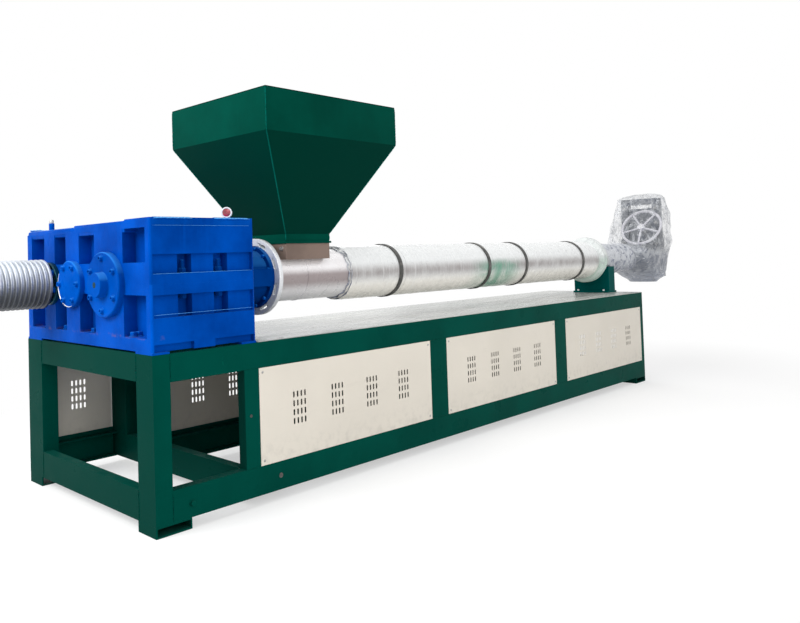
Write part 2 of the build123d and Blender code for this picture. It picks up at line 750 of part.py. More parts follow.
# Die at the end, with its outlet facing down
die_x = changer_x + changer_length
with BuildPart() as die_head:
    round_piece(die_x, screw_y, [
        (0, 0), (0, die_radius), (die_length - 2 * cap_edge, die_radius),
        (die_length, die_radius - 2 * cap_edge), (die_length, 0)])
    with BuildSketch(Plane((die_x + die_length / 2, screw_y, die_outlet_bottom))):
        Circle(die_outlet_radius)
    extrude(amount=screw_height - die_outlet_bottom)
save(die_head.part, "die_head")

# Small fittings on the gearbox's top
gauge_place = Vector(drive_end + gauge_from_end, front + gauge_from_front, gearbox_front_height)
gauge_facing = Vector(-sin(radians(gauge_turn)), -cos(radians(gauge_turn)), 0)
gauge_centre = gauge_place + Vector(0, 0, gauge_stem_height + gauge_radius / 2)
with BuildPart() as oil_gauge:
    with BuildSketch(Plane(gauge_place)):
        Circle(gauge_stem_radius)
    extrude(amount=gauge_stem_height + gauge_radius / 2)
    with BuildSketch(Plane(gauge_centre - gauge_facing * (gauge_thickness / 2), z_dir=gauge_facing)):
        Circle(gauge_radius)
    extrude(amount=gauge_thickness)
save(oil_gauge.part, "oil_gauge")

with BuildPart() as breather:
    breather_foot = (drive_end + breather_from_end, gearbox_back - breather_from_back, gearbox_back_height)
    with BuildSketch(Plane(breather_foot)):
        Circle(breather_radius)
    extrude(amount=breather_height)
save(breather.part, "breather")
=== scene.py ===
"""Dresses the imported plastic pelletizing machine: finishes, fasteners, welds and film.

All sizes are in metres in the machine's own frame. X runs along the screw from the
drive end to the die, Y from the front to the back, and Z is up from the floor.
"""

import logging
import math
from collections.abc import Callable, Sequence
from dataclasses import dataclass, field
from enum import Enum

import bmesh
import bpy
from mathutils import Matrix, Vector, noise


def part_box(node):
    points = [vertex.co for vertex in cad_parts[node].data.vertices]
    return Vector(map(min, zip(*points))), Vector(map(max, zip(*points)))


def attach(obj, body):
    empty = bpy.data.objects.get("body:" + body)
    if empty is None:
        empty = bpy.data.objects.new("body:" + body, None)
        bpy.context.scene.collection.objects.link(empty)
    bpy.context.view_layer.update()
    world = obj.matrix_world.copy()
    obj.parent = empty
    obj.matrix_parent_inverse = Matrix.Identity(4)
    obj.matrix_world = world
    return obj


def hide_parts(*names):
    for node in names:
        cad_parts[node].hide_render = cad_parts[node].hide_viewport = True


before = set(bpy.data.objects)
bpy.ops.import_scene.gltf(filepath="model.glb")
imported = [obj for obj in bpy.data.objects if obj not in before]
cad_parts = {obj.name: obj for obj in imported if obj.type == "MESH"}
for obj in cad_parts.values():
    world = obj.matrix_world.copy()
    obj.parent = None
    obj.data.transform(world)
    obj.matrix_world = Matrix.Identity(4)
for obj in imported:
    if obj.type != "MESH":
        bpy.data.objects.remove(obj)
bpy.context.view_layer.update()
LOG = logging.getLogger("pelletizing_machine")

Colour = tuple[float, float, float]
Point = tuple[float, float, float]


class Body(Enum):
    """The bodies that pieces ride on."""

    ROOT = "root"
    PULLEY = "pulley"
    WHEEL = "wheel"


class Slot(Enum):
    """The record's material slots, passed with the added pieces but not used by them."""

    BED = "bed_green"
    HOPPER = "hopper_green"
    GEARBOX = "gearbox_blue"
    STEEL = "bare_steel"
    WRAP = "wrapped_cover"
    CHANGER = "changer_steel"
    GAUGE = "gauge_red"


class BoltHead(Enum):
    """The kinds of screw and bolt heads on the machine, each with its number of sides."""

    HEX = 6
    SOCKET = 24
    PAN = 16


class Graph:
    """The node tree of one finish, with short calls for the nodes it uses."""

    def __init__(self, name: str) -> None:
        """Start an empty material.

        Args:
            name: The finish's name.
        """
        self.material = bpy.data.materials.new(name)
        self.material.use_nodes = True
        self.tree = self.material.node_tree
        self.tree.nodes.clear()
        self.place = self.add("TexCoord").outputs["Object"]
        geometry = self.add("NewGeometry")
        self.normal = geometry.outputs["Normal"]

    def add(self, kind: str, inputs: dict | None = None, **settings: object) -> bpy.types.Node:
        """Add a node.

        Args:
            kind: The node's type without the ShaderNode prefix.
            inputs: Values or sockets for the node's inputs, by name or number.
            settings: The node's own settings.

        Returns:
            The new node.
        """
        node = self.tree.nodes.new("ShaderNode" + kind)
        for name, value in settings.items():
            setattr(node, name, value)
        for name, value in (inputs or {}).items():
            socket = node.inputs[name]
            if isinstance(value, bpy.types.NodeSocket):
                self.tree.links.new(value, socket)
            else:
                socket.default_value = value
        return node

    def axes(self) -> bpy.types.NodeOutputs:
        """Return the place's X, Y and Z as sockets."""
        return self.add("SeparateXYZ", {0: self.place}).outputs

    def facing(self) -> bpy.types.NodeOutputs:
        """Return the X, Y and Z of the way the surface faces, as sockets."""
        return self.add("SeparateXYZ", {0: self.normal}).outputs

    def scaled(self, scale: Point) -> bpy.types.NodeSocket:
        """Return the place with each axis scaled, for grain that runs one way."""
        mapping = self.add("Mapping", {"Vector": self.place})
        mapping.inputs["Scale"].default_value = scale
        return mapping.outputs["Vector"]

    def noise(self, scale: float, detail: float = 3.0, rough: float = 0.5,
              vector: bpy.types.NodeSocket | None = None, warp: float = 0.0) -> bpy.types.NodeSocket:
        """Return a noise value.

        Args:
            scale: Features for each metre.
            detail: Octaves.
            rough: How strong the finer octaves are.
            vector: The place it is read at, where it isn't the plain one.
            warp: Distortion.

        Returns:
            The noise's value, about 0.5 on average.
        """
        return self.add("TexNoise", {"Vector": vector or self.place, "Scale": scale, "Detail": detail,
                                     "Roughness": rough, "Distortion": warp}).outputs[0]

    def level(self, value: bpy.types.NodeSocket, low: float, high: float,
              out_low: float = 0.0, out_high: float = 1.0) -> bpy.types.NodeSocket:
        """Return a value carried from one range to another with a soft start and end."""
        return self.add("MapRange", {"Value": value, "From Min": low, "From Max": high, "To Min": out_low,
                                     "To Max": out_high}, interpolation_type="SMOOTHSTEP").outputs[0]

    def math(self, kind: str, a: object, b: object) -> bpy.types.NodeSocket:
        """Return a math node's result.

        Args:
            kind: The operation.
            a: The first value or socket.
            b: The second value or socket.

        Returns:
            The result's socket.
        """
        return self.add("Math", {0: a, 1: b}, operation=kind).outputs[0]

    def times(self, a: object, b: object) -> bpy.types.NodeSocket:
        """Return the product of two values or sockets."""
        return self.math("MULTIPLY", a, b)

    def mix(self, share: object, a: object, b: object) -> bpy.types.NodeSocket:
        """Return a colour between a and b.

        Args:
            share: How much of b, as a value or socket.
            a: A colour or socket.
            b: A colour or socket.

        Returns:
            The mixed colour's socket.
        """
        colours = [value if isinstance(value, bpy.types.NodeSocket) else (*value, 1.0) for value in (a, b)]
        node = self.add("Mix", {0: share}, data_type="RGBA")
        for number, value in zip((6, 7), colours):
            if isinstance(value, bpy.types.NodeSocket):
                self.tree.links.new(value, node.inputs[number])
            else:
                node.inputs[number].default_value = value
        return node.outputs[2]

    def relief(self, height: bpy.types.NodeSocket, depth: float, under: bpy.types.NodeSocket | None = None,
               strength: float = 1.0) -> bpy.types.NodeSocket:
        """Return a bumped normal.

        Args:
            height: The height value, 0 to 1.
            depth: The relief's depth in metres.
            under: Another relief that this one lies on.
            strength: The share of the relief that shows.

        Returns:
            The normal's socket.
        """
        inputs = {"Height": height, "Distance": depth, "Strength": strength}
        if under is not None:
            inputs["Normal"] = under
        return self.add("Bump", inputs).outputs[0]

    def finish(self, **inputs: object) -> bpy.types.Material:
        """Close the tree with a surface.

        Args:
            inputs: The surface's inputs, with _ for a space.

        Returns:
            The finished material.
        """
        named = {name.replace("_", " "): value for name, value in inputs.items()}
        named = {name: (*value, 1.0) if isinstance(value, tuple) and len(value) == 3 else value
                 for name, value in named.items()}
        surface = self.add("BsdfPrincipled", named)
        output = self.add("OutputMaterial")
        self.tree.links.new(surface.outputs[0], output.inputs["Surface"])
        return self.material


@dataclass(frozen=True)
class Enamel:
    """Gloss enamel over sheet, tube or castings.

    Fields:
        name: The finish's name.
        colour: The enamel's colour.
        mottling: How far the colour wanders, as a share.
        roughness: The gloss where the enamel is clean.
        peel: The depth of the orange peel.
        lumps: The depth of the unevenness under it, deep on castings.
        dust: How much dust lies on what faces up.
        dust_colour: The dust's colour.
        shine: How strongly the enamel mirrors.
        shine_tint: The colour of what it mirrors.
        under: What is left of the colour on what faces down: painted shade.
        ends: What is left of the colour on what faces the drive end: painted shade.
    """

    name: str
    colour: Colour
    mottling: float = 0.12
    roughness: float = 0.32
    peel: float = 0.00025
    lumps: float = 0.0006
    dust: float = 0.03
    dust_colour: Colour = (0.20, 0.27, 0.25)
    shine: float = 0.015
    shine_tint: Colour = (0.0, 0.90, 0.78)
    under: float = 1.0
    ends: float = 1.0

    def make(self) -> bpy.types.Material:
        """Return the enamel's material."""
        graph = Graph(self.name)
        dark = tuple(c * (1 - self.mottling) for c in self.colour)
        light = tuple(min(1.0, c * (1 + self.mottling)) for c in self.colour)
        cloud = graph.noise(2.6, 5, 0.55)
        colour = graph.mix(graph.level(cloud, 0.3, 0.7), dark, light)
        streaks = graph.noise(1.0, 4, 0.6, graph.scaled((24, 24, 1.6)))
        colour = graph.mix(graph.level(streaks, 0.52, 0.8, 0, 0.35), colour, light)
        facing = graph.facing()[2]
        # Painted shade: the colour darkens on what faces down.
        if self.under < 1:
            under_shade = tuple(c * self.under for c in self.colour)
            colour = graph.mix(graph.level(facing, -0.15, -0.42), colour, under_shade)
        # Painted shade: the colour darkens on what faces the drive end.
        if self.ends < 1:
            shaded = tuple(c * self.ends for c in self.colour)
            away = graph.facing()[0]
            colour = graph.mix(graph.level(away, -0.6, -0.95), colour, shaded)
        lying = graph.times(graph.level(facing, 0.55, 0.98), graph.level(graph.noise(7, 6, 0.65), 0.3, 0.75))
        colour = graph.mix(graph.times(lying, self.dust), colour, self.dust_colour)
        specks = graph.level(graph.noise(160, 2), 0.68, 0.78, 0, 0.25)
        colour = graph.mix(specks, colour, light)
        rough = graph.level(graph.noise(5, 5, 0.6), 0.3, 0.75, self.roughness * 0.8, self.roughness * 1.35)
        rough = graph.math("ADD", rough, graph.times(lying, self.dust * 1.5))
        uneven = graph.relief(graph.noise(9, 3), self.lumps)
        peel = graph.relief(graph.noise(230, 2), self.peel, uneven)
        return graph.finish(Base_Color=colour, Roughness=rough, Normal=peel, Specular_IOR_Level=self.shine,
                            Specular_Tint=self.shine_tint)


@dataclass(frozen=True)
class Casting:
    """Thick blue enamel over rough castings, with rust stains in the low corners and painted highlights on
    the rounded edges that face up.

    Fields:
        name: The finish's name.
        colour: The enamel's colour.
        stain: The colour of the stains.
        stain_low: The height where the stains begin.
        stain_high: The height where they end.
        stain_end: How far along the machine they reach from the drive end.
        rim: The painted highlight colour of the rounded edges that face up.
        rim_highlight_share: How much of the pale colour they take.
    """

    name: str
    colour: Colour
    stain: Colour = (0.20, 0.11, 0.08)
    stain_low: float = 0.862
    stain_high: float = 0.884
    stain_end: float = -2.94
    rim: Colour = (0.03, 0.235, 0.66)
    rim_highlight_share: float = 0.85

    def make(self) -> bpy.types.Material:
        """Return the casting's material."""
        graph = Graph(self.name)
        deep = tuple(c * 0.72 for c in self.colour)
        bright = (self.colour[0], self.colour[1] * 1.35, min(1.0, self.colour[2] * 1.22))
        colour = graph.mix(graph.level(graph.noise(3.2, 5, 0.55), 0.3, 0.72), deep, bright)
        runs = graph.noise(1.0, 4, 0.6, graph.scaled((30, 30, 2.0)))
        colour = graph.mix(graph.level(runs, 0.5, 0.8, 0, 0.4), colour, bright)
        along, _, height = graph.axes()[0:3]
        ends = graph.times(graph.level(height, self.stain_low - 0.006, self.stain_low + 0.002),
                         graph.level(height, self.stain_high, self.stain_low + 0.004))
        ends = graph.times(ends, graph.level(along, self.stain_end + 0.01, self.stain_end))
        patches = graph.level(graph.noise(17, 5, 0.6), 0.5, 0.64)
        colour = graph.mix(graph.times(graph.times(ends, patches), 0.3), colour, self.stain)
        facing = graph.facing()[2]
        dusty = graph.times(graph.level(facing, 0.6, 0.98), graph.level(graph.noise(8, 6, 0.65), 0.3, 0.7))
        colour = graph.mix(graph.times(dusty, 0.08), colour, (0.22, 0.27, 0.36))
        # Painted highlight: the rounded edges that face up turn pale.
        rounded = graph.times(graph.level(facing, 0.22, 0.6), graph.level(facing, 0.995, 0.95))
        colour = graph.mix(graph.times(rounded, self.rim_highlight_share), colour, self.rim)
        rough = graph.level(graph.noise(6, 5, 0.6), 0.3, 0.75, 0.26, 0.44)
        lumps = graph.relief(graph.noise(14, 4, 0.6), 0.0022)
        sand = graph.relief(graph.noise(120, 4, 0.65), 0.0007, lumps)
        return graph.finish(Base_Color=colour, Roughness=rough, Normal=sand, Specular_IOR_Level=0.015,
                            Specular_Tint=(0.0, 0.5, 1.0))


@dataclass(frozen=True)
class PowderCoat:
    """Cream powder coat on sheet, with a fine texture and faint scuffs.

    Fields:
        name: The finish's name.
        colour: The coat's colour.
        gloss: The roughness.
        scuff: The colour of smudges.
    """

    name: str
    colour: Colour
    gloss: float = 0.42
    scuff: Colour = (0.46, 0.43, 0.38)

    def make(self) -> bpy.types.Material:
        """Return the powder coat's material."""
        graph = Graph(self.name)
        warm = tuple(c * 0.93 for c in self.colour)
        colour = graph.mix(graph.level(graph.noise(1.6, 4), 0.3, 0.7), warm, self.colour)
        smears = graph.noise(1.0, 5, 0.6, graph.scaled((3.0, 3.0, 13.0)), 0.6)
        colour = graph.mix(graph.level(smears, 0.58, 0.82, 0, 0.28), colour, self.scuff)
        flecks = graph.level(graph.noise(75, 3, 0.5), 0.72, 0.8, 0, 0.3)
        colour = graph.mix(flecks, colour, self.scuff)
        splash = graph.level(graph.axes()[2], 0.36, 0.19)
        splash = graph.times(splash, graph.level(graph.noise(22, 5, 0.6), 0.42, 0.75, 0, 0.4))
        colour = graph.mix(splash, colour, self.scuff)
        waves = graph.relief(graph.noise(2.2, 2), 0.003, strength=0.5)
        grain = graph.relief(graph.noise(420, 2), 0.00016, waves)
        rough = graph.level(graph.noise(9, 4), 0.3, 0.7, self.gloss * 0.85, self.gloss * 1.2)
        return graph.finish(Base_Color=colour, Roughness=rough, Normal=grain)


@dataclass(frozen=True)
class GlossySheet:
    """White glossy deck sheet with faint smears along it, dark spots of dirt, and painted shade and
    reflection towards the gearbox end.

    Fields:
        name: The finish's name.
        colour: The sheet's colour.
        smear_and_shade: The colour of the smears and of the painted shade towards the gearbox end.
    """

    name: str
    colour: Colour
    smear_and_shade: Colour = (0.27, 0.29, 0.29)

    def make(self) -> bpy.types.Material:
        """Return the sheet's material."""
        graph = Graph(self.name)
        along = graph.noise(1.0, 5, 0.6, graph.scaled((0.7, 7.0, 7.0)), 0.3)
        colour = graph.mix(graph.level(along, 0.36, 0.72, 0, 0.55), self.colour, self.smear_and_shade)
        # Painted shade and reflection: darker towards the gearbox end.
        near = graph.level(graph.axes()[0], -1.1, -2.2, 0, 0.7)
        colour = graph.mix(near, colour, self.smear_and_shade)
        spots = graph.level(graph.noise(34, 4, 0.55), 0.66, 0.75, 0, 0.35)
        colour = graph.mix(spots, colour, (0.16, 0.15, 0.14))
        rough = graph.level(graph.noise(5, 5, 0.6, graph.scaled((0.6, 3, 3))), 0.3, 0.75, 0.20, 0.36)
        dents = graph.relief(graph.noise(2.6, 3), 0.004, strength=0.5)
        return graph.finish(Base_Color=colour, Roughness=rough, Normal=dents, Specular_IOR_Level=0.2)


@dataclass(frozen=True)
class TurnedSteel:
    """Machined steel with turning marks round its axis, a thin oil film, and where asked a painted dark
    reflection band and painted shade underneath.

    Fields:
        name: The finish's name.
        colour: The metal's colour.
        oil: The colour where the oil film lies, also the colour of the painted reflection band and the
            painted shade underneath.
        roughness: How dull the metal is.
        band: The height of the painted dark reflection band, in the middle of the barrel's side.
        metallic: How much it is a bare metal.
        marks: Turning marks for each metre.
        clouding: How much of the oil film shows.
        under: How strong the painted shade is on what faces down.
    """

    name: str
    colour: Colour
    oil: Colour
    roughness: float = 0.3
    band: float | None = None
    metallic: float = 0.85
    marks: float = 420.0
    clouding: float = 0.45
    under: float = 0.0

    def make(self) -> bpy.types.Material:
        """Return the steel's material."""
        graph = Graph(self.name)
        cloud = graph.level(graph.noise(6, 5, 0.6), 0.32, 0.72)
        colour = graph.mix(graph.times(cloud, self.clouding), self.colour, self.oil)
        # Painted shade and reflection: darker on what faces down.
        if self.under > 0:
            facing = graph.facing()[2]
            under_shade = graph.level(facing, 0.6, -0.6, 0.0, self.under)
            colour = graph.mix(under_shade, colour, tuple(c * 0.18 for c in self.oil))
        # Painted reflection: a dark band along the middle of the side.
        if self.band is not None:
            height = graph.axes()[2]
            near = graph.times(graph.level(height, self.band - 0.080, self.band - 0.02),
                             graph.level(height, self.band + 0.060, self.band + 0.01))
            colour = graph.mix(graph.times(near, 0.95), colour, self.oil)
        spots = graph.level(graph.noise(48, 4, 0.6), 0.64, 0.78, 0, 0.45)
        colour = graph.mix(spots, colour, tuple(c * 0.4 for c in self.oil))
        rough = graph.level(graph.noise(11, 5, 0.6), 0.3, 0.75, self.roughness * 0.75, self.roughness * 1.35)
        turning = graph.relief(graph.noise(1.0, 2, 0.5, graph.scaled((self.marks, 5, 5))), 0.0003)
        nicks = graph.relief(graph.noise(90, 3), 0.0002, turning)
        return graph.finish(Base_Color=colour, Roughness=rough, Metallic=self.metallic, Normal=nicks)


@dataclass(frozen=True)
class StretchFilm:
    """Clear film wound tight over a cover: pale, glossy, ringed and crumpled.

    Fields:
        name: The finish's name.
        colour: The wrapped cover's colour through the film.
        shade: The painted shade colour along the middle of the side and underneath, also in the creases and
            dark patches.
        tint: The colour that shows through in patches.
        tint_place: Where along the machine the tint is strongest.
        tint_reach: How far it reaches from there.
        band_low: The lower end of the shaded band.
        band_high: The upper end of the shaded band.
        below: The colour under the band: painted reflected light, warm and pale on the sleeves and bluish
            grey on the hood.
        clear: The share of the surface that lets one look through.
        window: The place round which the film is clearest.
        patches: How strong the painted dark patches of shade and the painted white glints of crumpled film
            are.
    """

    name: str
    colour: Colour
    shade: Colour
    tint: Colour = (0.02, 0.30, 0.17)
    tint_place: float = 0.0
    tint_reach: float = 0.0
    band_low: float = 1.0
    band_high: float = 1.16
    below: Colour | None = None
    clear: float = 0.0
    window: Point | None = None
    patches: float = 0.0

    def make(self) -> bpy.types.Material:
        """Return the film's material."""
        graph = Graph(self.name)
        x, _, z = graph.axes()[0:3]
        middle = (self.band_low + self.band_high) / 2
        band = graph.times(graph.level(z, self.band_low, middle), graph.level(z, self.band_high, middle))
        cloud = graph.noise(9, 6, 0.62, graph.scaled((1.6, 1, 1)), 0.5)
        plain = self.colour
        # Painted reflected light under the band.
        if self.below is not None:
            plain = graph.mix(graph.level(z, middle, self.band_low - 0.03), plain, self.below)
        # Painted shade band along the middle of the side.
        colour = graph.mix(graph.times(band, graph.level(cloud, 0.25, 0.65, 0.65, 1.0)), plain,
                           self.shade)
        if self.tint_reach > 0:
            away = graph.math("ABSOLUTE", graph.math("SUBTRACT", x, self.tint_place), 0.0)
            share = graph.times(graph.level(away, self.tint_reach, 0.0),
                              graph.level(graph.noise(5, 5, 0.6, None, 0.8), 0.32, 0.56))
            lower = graph.level(z, self.band_high, middle)
            share = graph.math("MAXIMUM", share, graph.level(away, self.tint_reach * 0.28, 0.0, 0.0, 0.9))
            colour = graph.mix(graph.times(graph.times(share, lower), 0.85), colour, self.tint)
        rings = graph.noise(1.0, 3, 0.6, graph.scaled((95, 2.2, 2.2)), 0.4)
        colour = graph.mix(graph.level(rings, 0.5, 0.78, 0, 0.45), colour, (0.86, 0.87, 0.87))
        if self.patches > 0:
            # Painted shade in dark patches and painted highlights as white glints on the crumpled film.
            patch_shade = graph.noise(13, 5, 0.6, graph.scaled((0.9, 1, 1)), 1.6)
            colour = graph.mix(graph.level(patch_shade, 0.50, 0.62, 0, self.patches), colour, self.shade)
            glints = graph.noise(21, 5, 0.6, graph.scaled((1, 1, 1.6)), 2.0)
            colour = graph.mix(graph.level(glints, 0.60, 0.68, 0, self.patches), colour, (0.93, 0.95, 0.97))
        # Painted shade in the creases.
        creases = graph.level(graph.noise(1.0, 4, 0.6, graph.scaled((55, 14, 14)), 1.2), 0.62, 0.74, 0, 0.4)
        colour = graph.mix(creases, colour, self.shade)
        wound = graph.relief(rings, 0.004, strength=0.7)
        crumple = graph.relief(graph.noise(24, 4, 0.55, graph.scaled((1.8, 1, 1)), 0.9), 0.006, wound, 0.5)
        gloss = graph.level(cloud, 0.3, 0.7, 0.16, 0.36)
        inputs = {"Base_Color": colour, "Roughness": gloss, "Normal": crumple, "Coat_Weight": 0.5,
                  "Coat_Roughness": 0.1}
        if self.clear > 0:
            folds = graph.noise(11, 6, 0.66, graph.scaled((1, 1, 0.55)), 1.4)
            alpha = graph.level(folds, 0.44, 0.68, 1 - self.clear, 0.84)
            if self.window is not None:
                away = graph.add("VectorMath", {0: graph.place, 1: self.window}, operation="DISTANCE")
                alpha = graph.times(alpha, graph.level(away.outputs["Value"], 0.22, 0.36, 0.70, 1.0))
                low = graph.level(z, 1.27, 1.12, 0.0, 0.88)
                alpha = graph.math("MAXIMUM", alpha, low)
            inputs["Alpha"] = alpha
            graph.material.surface_render_method = "BLENDED"
        return graph.finish(**inputs)


@dataclass(frozen=True)
class DarkBand:
    """A dull dark band of rubbery strap, dusty along its edges.

    Fields:
        name: The finish's name.
        colour: The band's colour.
        dust: The dust's colour.
    """

    name: str
    colour: Colour
    dust: Colour = (0.22, 0.21, 0.19)

    def make(self) -> bpy.types.Material:
        """Return the band's material."""
        graph = Graph(self.name)
        dusty = graph.level(graph.noise(26, 5, 0.6), 0.45, 0.75, 0, 0.6)
        colour = graph.mix(dusty, self.colour, self.dust)
        weave = graph.relief(graph.noise(1.0, 2, 0.5, graph.scaled((300, 60, 60))), 0.0006)
        rough = graph.level(graph.noise(20, 3), 0.3, 0.7, 0.42, 0.62)
        return graph.finish(Base_Color=colour, Roughness=rough, Normal=weave)


@dataclass(frozen=True)
class GaugeGlass:
    """The red window of the oil gauge.

    Fields:
        name: The finish's name.
        colour: The window's colour.
    """

    name: str
    colour: Colour

    def make(self) -> bpy.types.Material:
        """Return the window's material."""
        graph = Graph(self.name)
        cloud = graph.level(graph.noise(60, 4), 0.35, 0.7)
        colour = graph.mix(cloud, self.colour, tuple(c * 0.55 for c in self.colour))
        ripple = graph.relief(graph.noise(90, 2), 0.0004)
        return graph.finish(Base_Color=colour, Roughness=0.12, Normal=ripple, Coat_Weight=1.0,
                            Coat_Roughness=0.04)


class Finishes:
    """Every finish of the machine, made once."""

    bed = Enamel("bed_green_enamel", (0.0003, 0.056, 0.041), ends=0.66)
    hopper = Enamel("hopper_green_enamel", (0.0003, 0.050, 0.034), mottling=0.16, roughness=0.36, under=0.62)
    saddle = Enamel("saddle_teal_enamel", (0.0004, 0.078, 0.072))
    seam = Enamel("hopper_seam_enamel", (0.0006, 0.105, 0.082), mottling=0.16)
    runs = Enamel("green_paint_runs", (0.0004, 0.085, 0.06), roughness=0.2)
    casting = Casting("blue_casting_enamel", (0.0, 0.053, 0.36))
    housing = Casting("blue_housing_enamel", (0.0, 0.030, 0.19), rim_highlight_share=0.3)
    cap = Casting("blue_cap_enamel", (0.0, 0.060, 0.37), stain=(0.03, 0.06, 0.14), rim_highlight_share=0.45)
    # The pad finish: painted highlights on all its rounded edges that face up.
    pad = Casting("blue_pad_enamel", (0.0, 0.060, 0.38), rim=(0.11, 0.37, 0.70), rim_highlight_share=1.0)
    dark_cap = Enamel("dark_cap_enamel", (0.001, 0.028, 0.050), mottling=0.3, roughness=0.24, shine=0.4,
                      shine_tint=(0.3, 0.9, 1.0))
    panel = PowderCoat("cream_powder_coat", (0.735, 0.685, 0.60))
    deck = GlossySheet("white_deck_sheet", (0.50, 0.51, 0.485))
    barrel = TurnedSteel("bare_barrel_steel", (0.95, 0.93, 0.94), (0.30, 0.25, 0.25), band=1.090,
                         metallic=0.2, clouding=0.10)
    steel = TurnedSteel("oiled_steel", (0.60, 0.60, 0.61), (0.30, 0.28, 0.26))
    ring = TurnedSteel("pale_ring_steel", (0.80, 0.81, 0.83), (0.42, 0.46, 0.50), metallic=0.2,
                       roughness=0.34, clouding=0.25)
    pulley = TurnedSteel("cast_pulley_metal", (0.62, 0.66, 0.71), (0.30, 0.32, 0.37), metallic=0.6,
                         roughness=0.36, under=0.95)
    shaft = TurnedSteel("shaft_steel", (0.20, 0.21, 0.22), (0.09, 0.08, 0.08), roughness=0.3)
    changer = TurnedSteel("changer_steel", (0.17, 0.18, 0.20), (0.06, 0.065, 0.08), roughness=0.42,
                          metallic=0.5)
    screw = TurnedSteel("screw_steel", (0.44, 0.44, 0.44), (0.16, 0.15, 0.14), roughness=0.34)
    throat = Enamel("throat_primer", (0.185, 0.135, 0.112), mottling=0.2, roughness=0.5, dust=0.15, shine=0.2,
                    shine_tint=(0.9, 0.85, 0.8))
    wheel = Enamel("pale_wheel_enamel", (0.62, 0.61, 0.66), roughness=0.25, shine=0.4,
                   shine_tint=(1.0, 1.0, 1.0))
    strap = DarkBand("dark_strap_band", (0.045, 0.045, 0.042))
    film_sleeve = StretchFilm("wound_film", (0.80, 0.815, 0.815), (0.30, 0.275, 0.27), tint_place=0.12,
                              tint_reach=0.42, band_low=1.03, band_high=1.17, below=(0.97, 0.93, 0.86))
    film_adaptor = StretchFilm("wound_film_dark", (0.54, 0.56, 0.60), (0.09, 0.11, 0.18), band_low=0.80,
                               band_high=1.14, patches=0.8)
    film_flange = StretchFilm("wound_film_pale", (0.66, 0.69, 0.68), (0.30, 0.33, 0.33),
                              tint=(0.50, 0.66, 0.56), tint_place=1.80, tint_reach=0.2, patches=0.35)
    film_hood = StretchFilm("loose_film", (0.60, 0.62, 0.65), (0.16, 0.18, 0.23), clear=0.78, band_low=0.9,
                            band_high=1.2, below=(0.22, 0.26, 0.36), window=(2.76, -0.40, 1.40), patches=0.85)
    gauge = GaugeGlass("gauge_window", (0.36, 0.03, 0.05))

    _made: dict[str, bpy.types.Material] = {}

    @classmethod
    def get(cls, finish: object) -> bpy.types.Material:
        """Return a finish's material, made the first time it is asked for.

        Args:
            finish: One of the finishes above.

        Returns:
            Its material.
        """
        if finish.name not in cls._made:
            cls._made[finish.name] = finish.make()
        return cls._made[finish.name]


def end_middle(low: Vector, high: Vector) -> Vector:
    """Return the middle of a box's end that faces the drive end."""
    return Vector((low.x, (low.y + high.y) / 2, (low.z + high.z) / 2))


def dress(names: Sequence[str], finish: object, bevel: float = 0.0, angle: float = 35.0) -> None:
    """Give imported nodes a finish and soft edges.

    Args:
        names: The nodes' names.
        finish: The finish they get.
        bevel: The width of the rounding on their sharp edges.
        angle: The bend in degrees from which an edge counts as sharp.
    """
    for name in names:
        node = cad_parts[name]
        node.data.materials.clear()
        node.data.materials.append(Finishes.get(finish))
        if bevel <= 0:
            continue
        weld = node.modifiers.new("joined", "WELD")
        weld.merge_threshold = 0.00002
        edge = node.modifiers.new("soft_edges", "BEVEL")
        edge.width = bevel
        edge.segments = 2
        edge.limit_method = "ANGLE"
        edge.angle_limit = math.radians(angle)
        edge.use_clamp_overlap = True
        edge.harden_normals = True


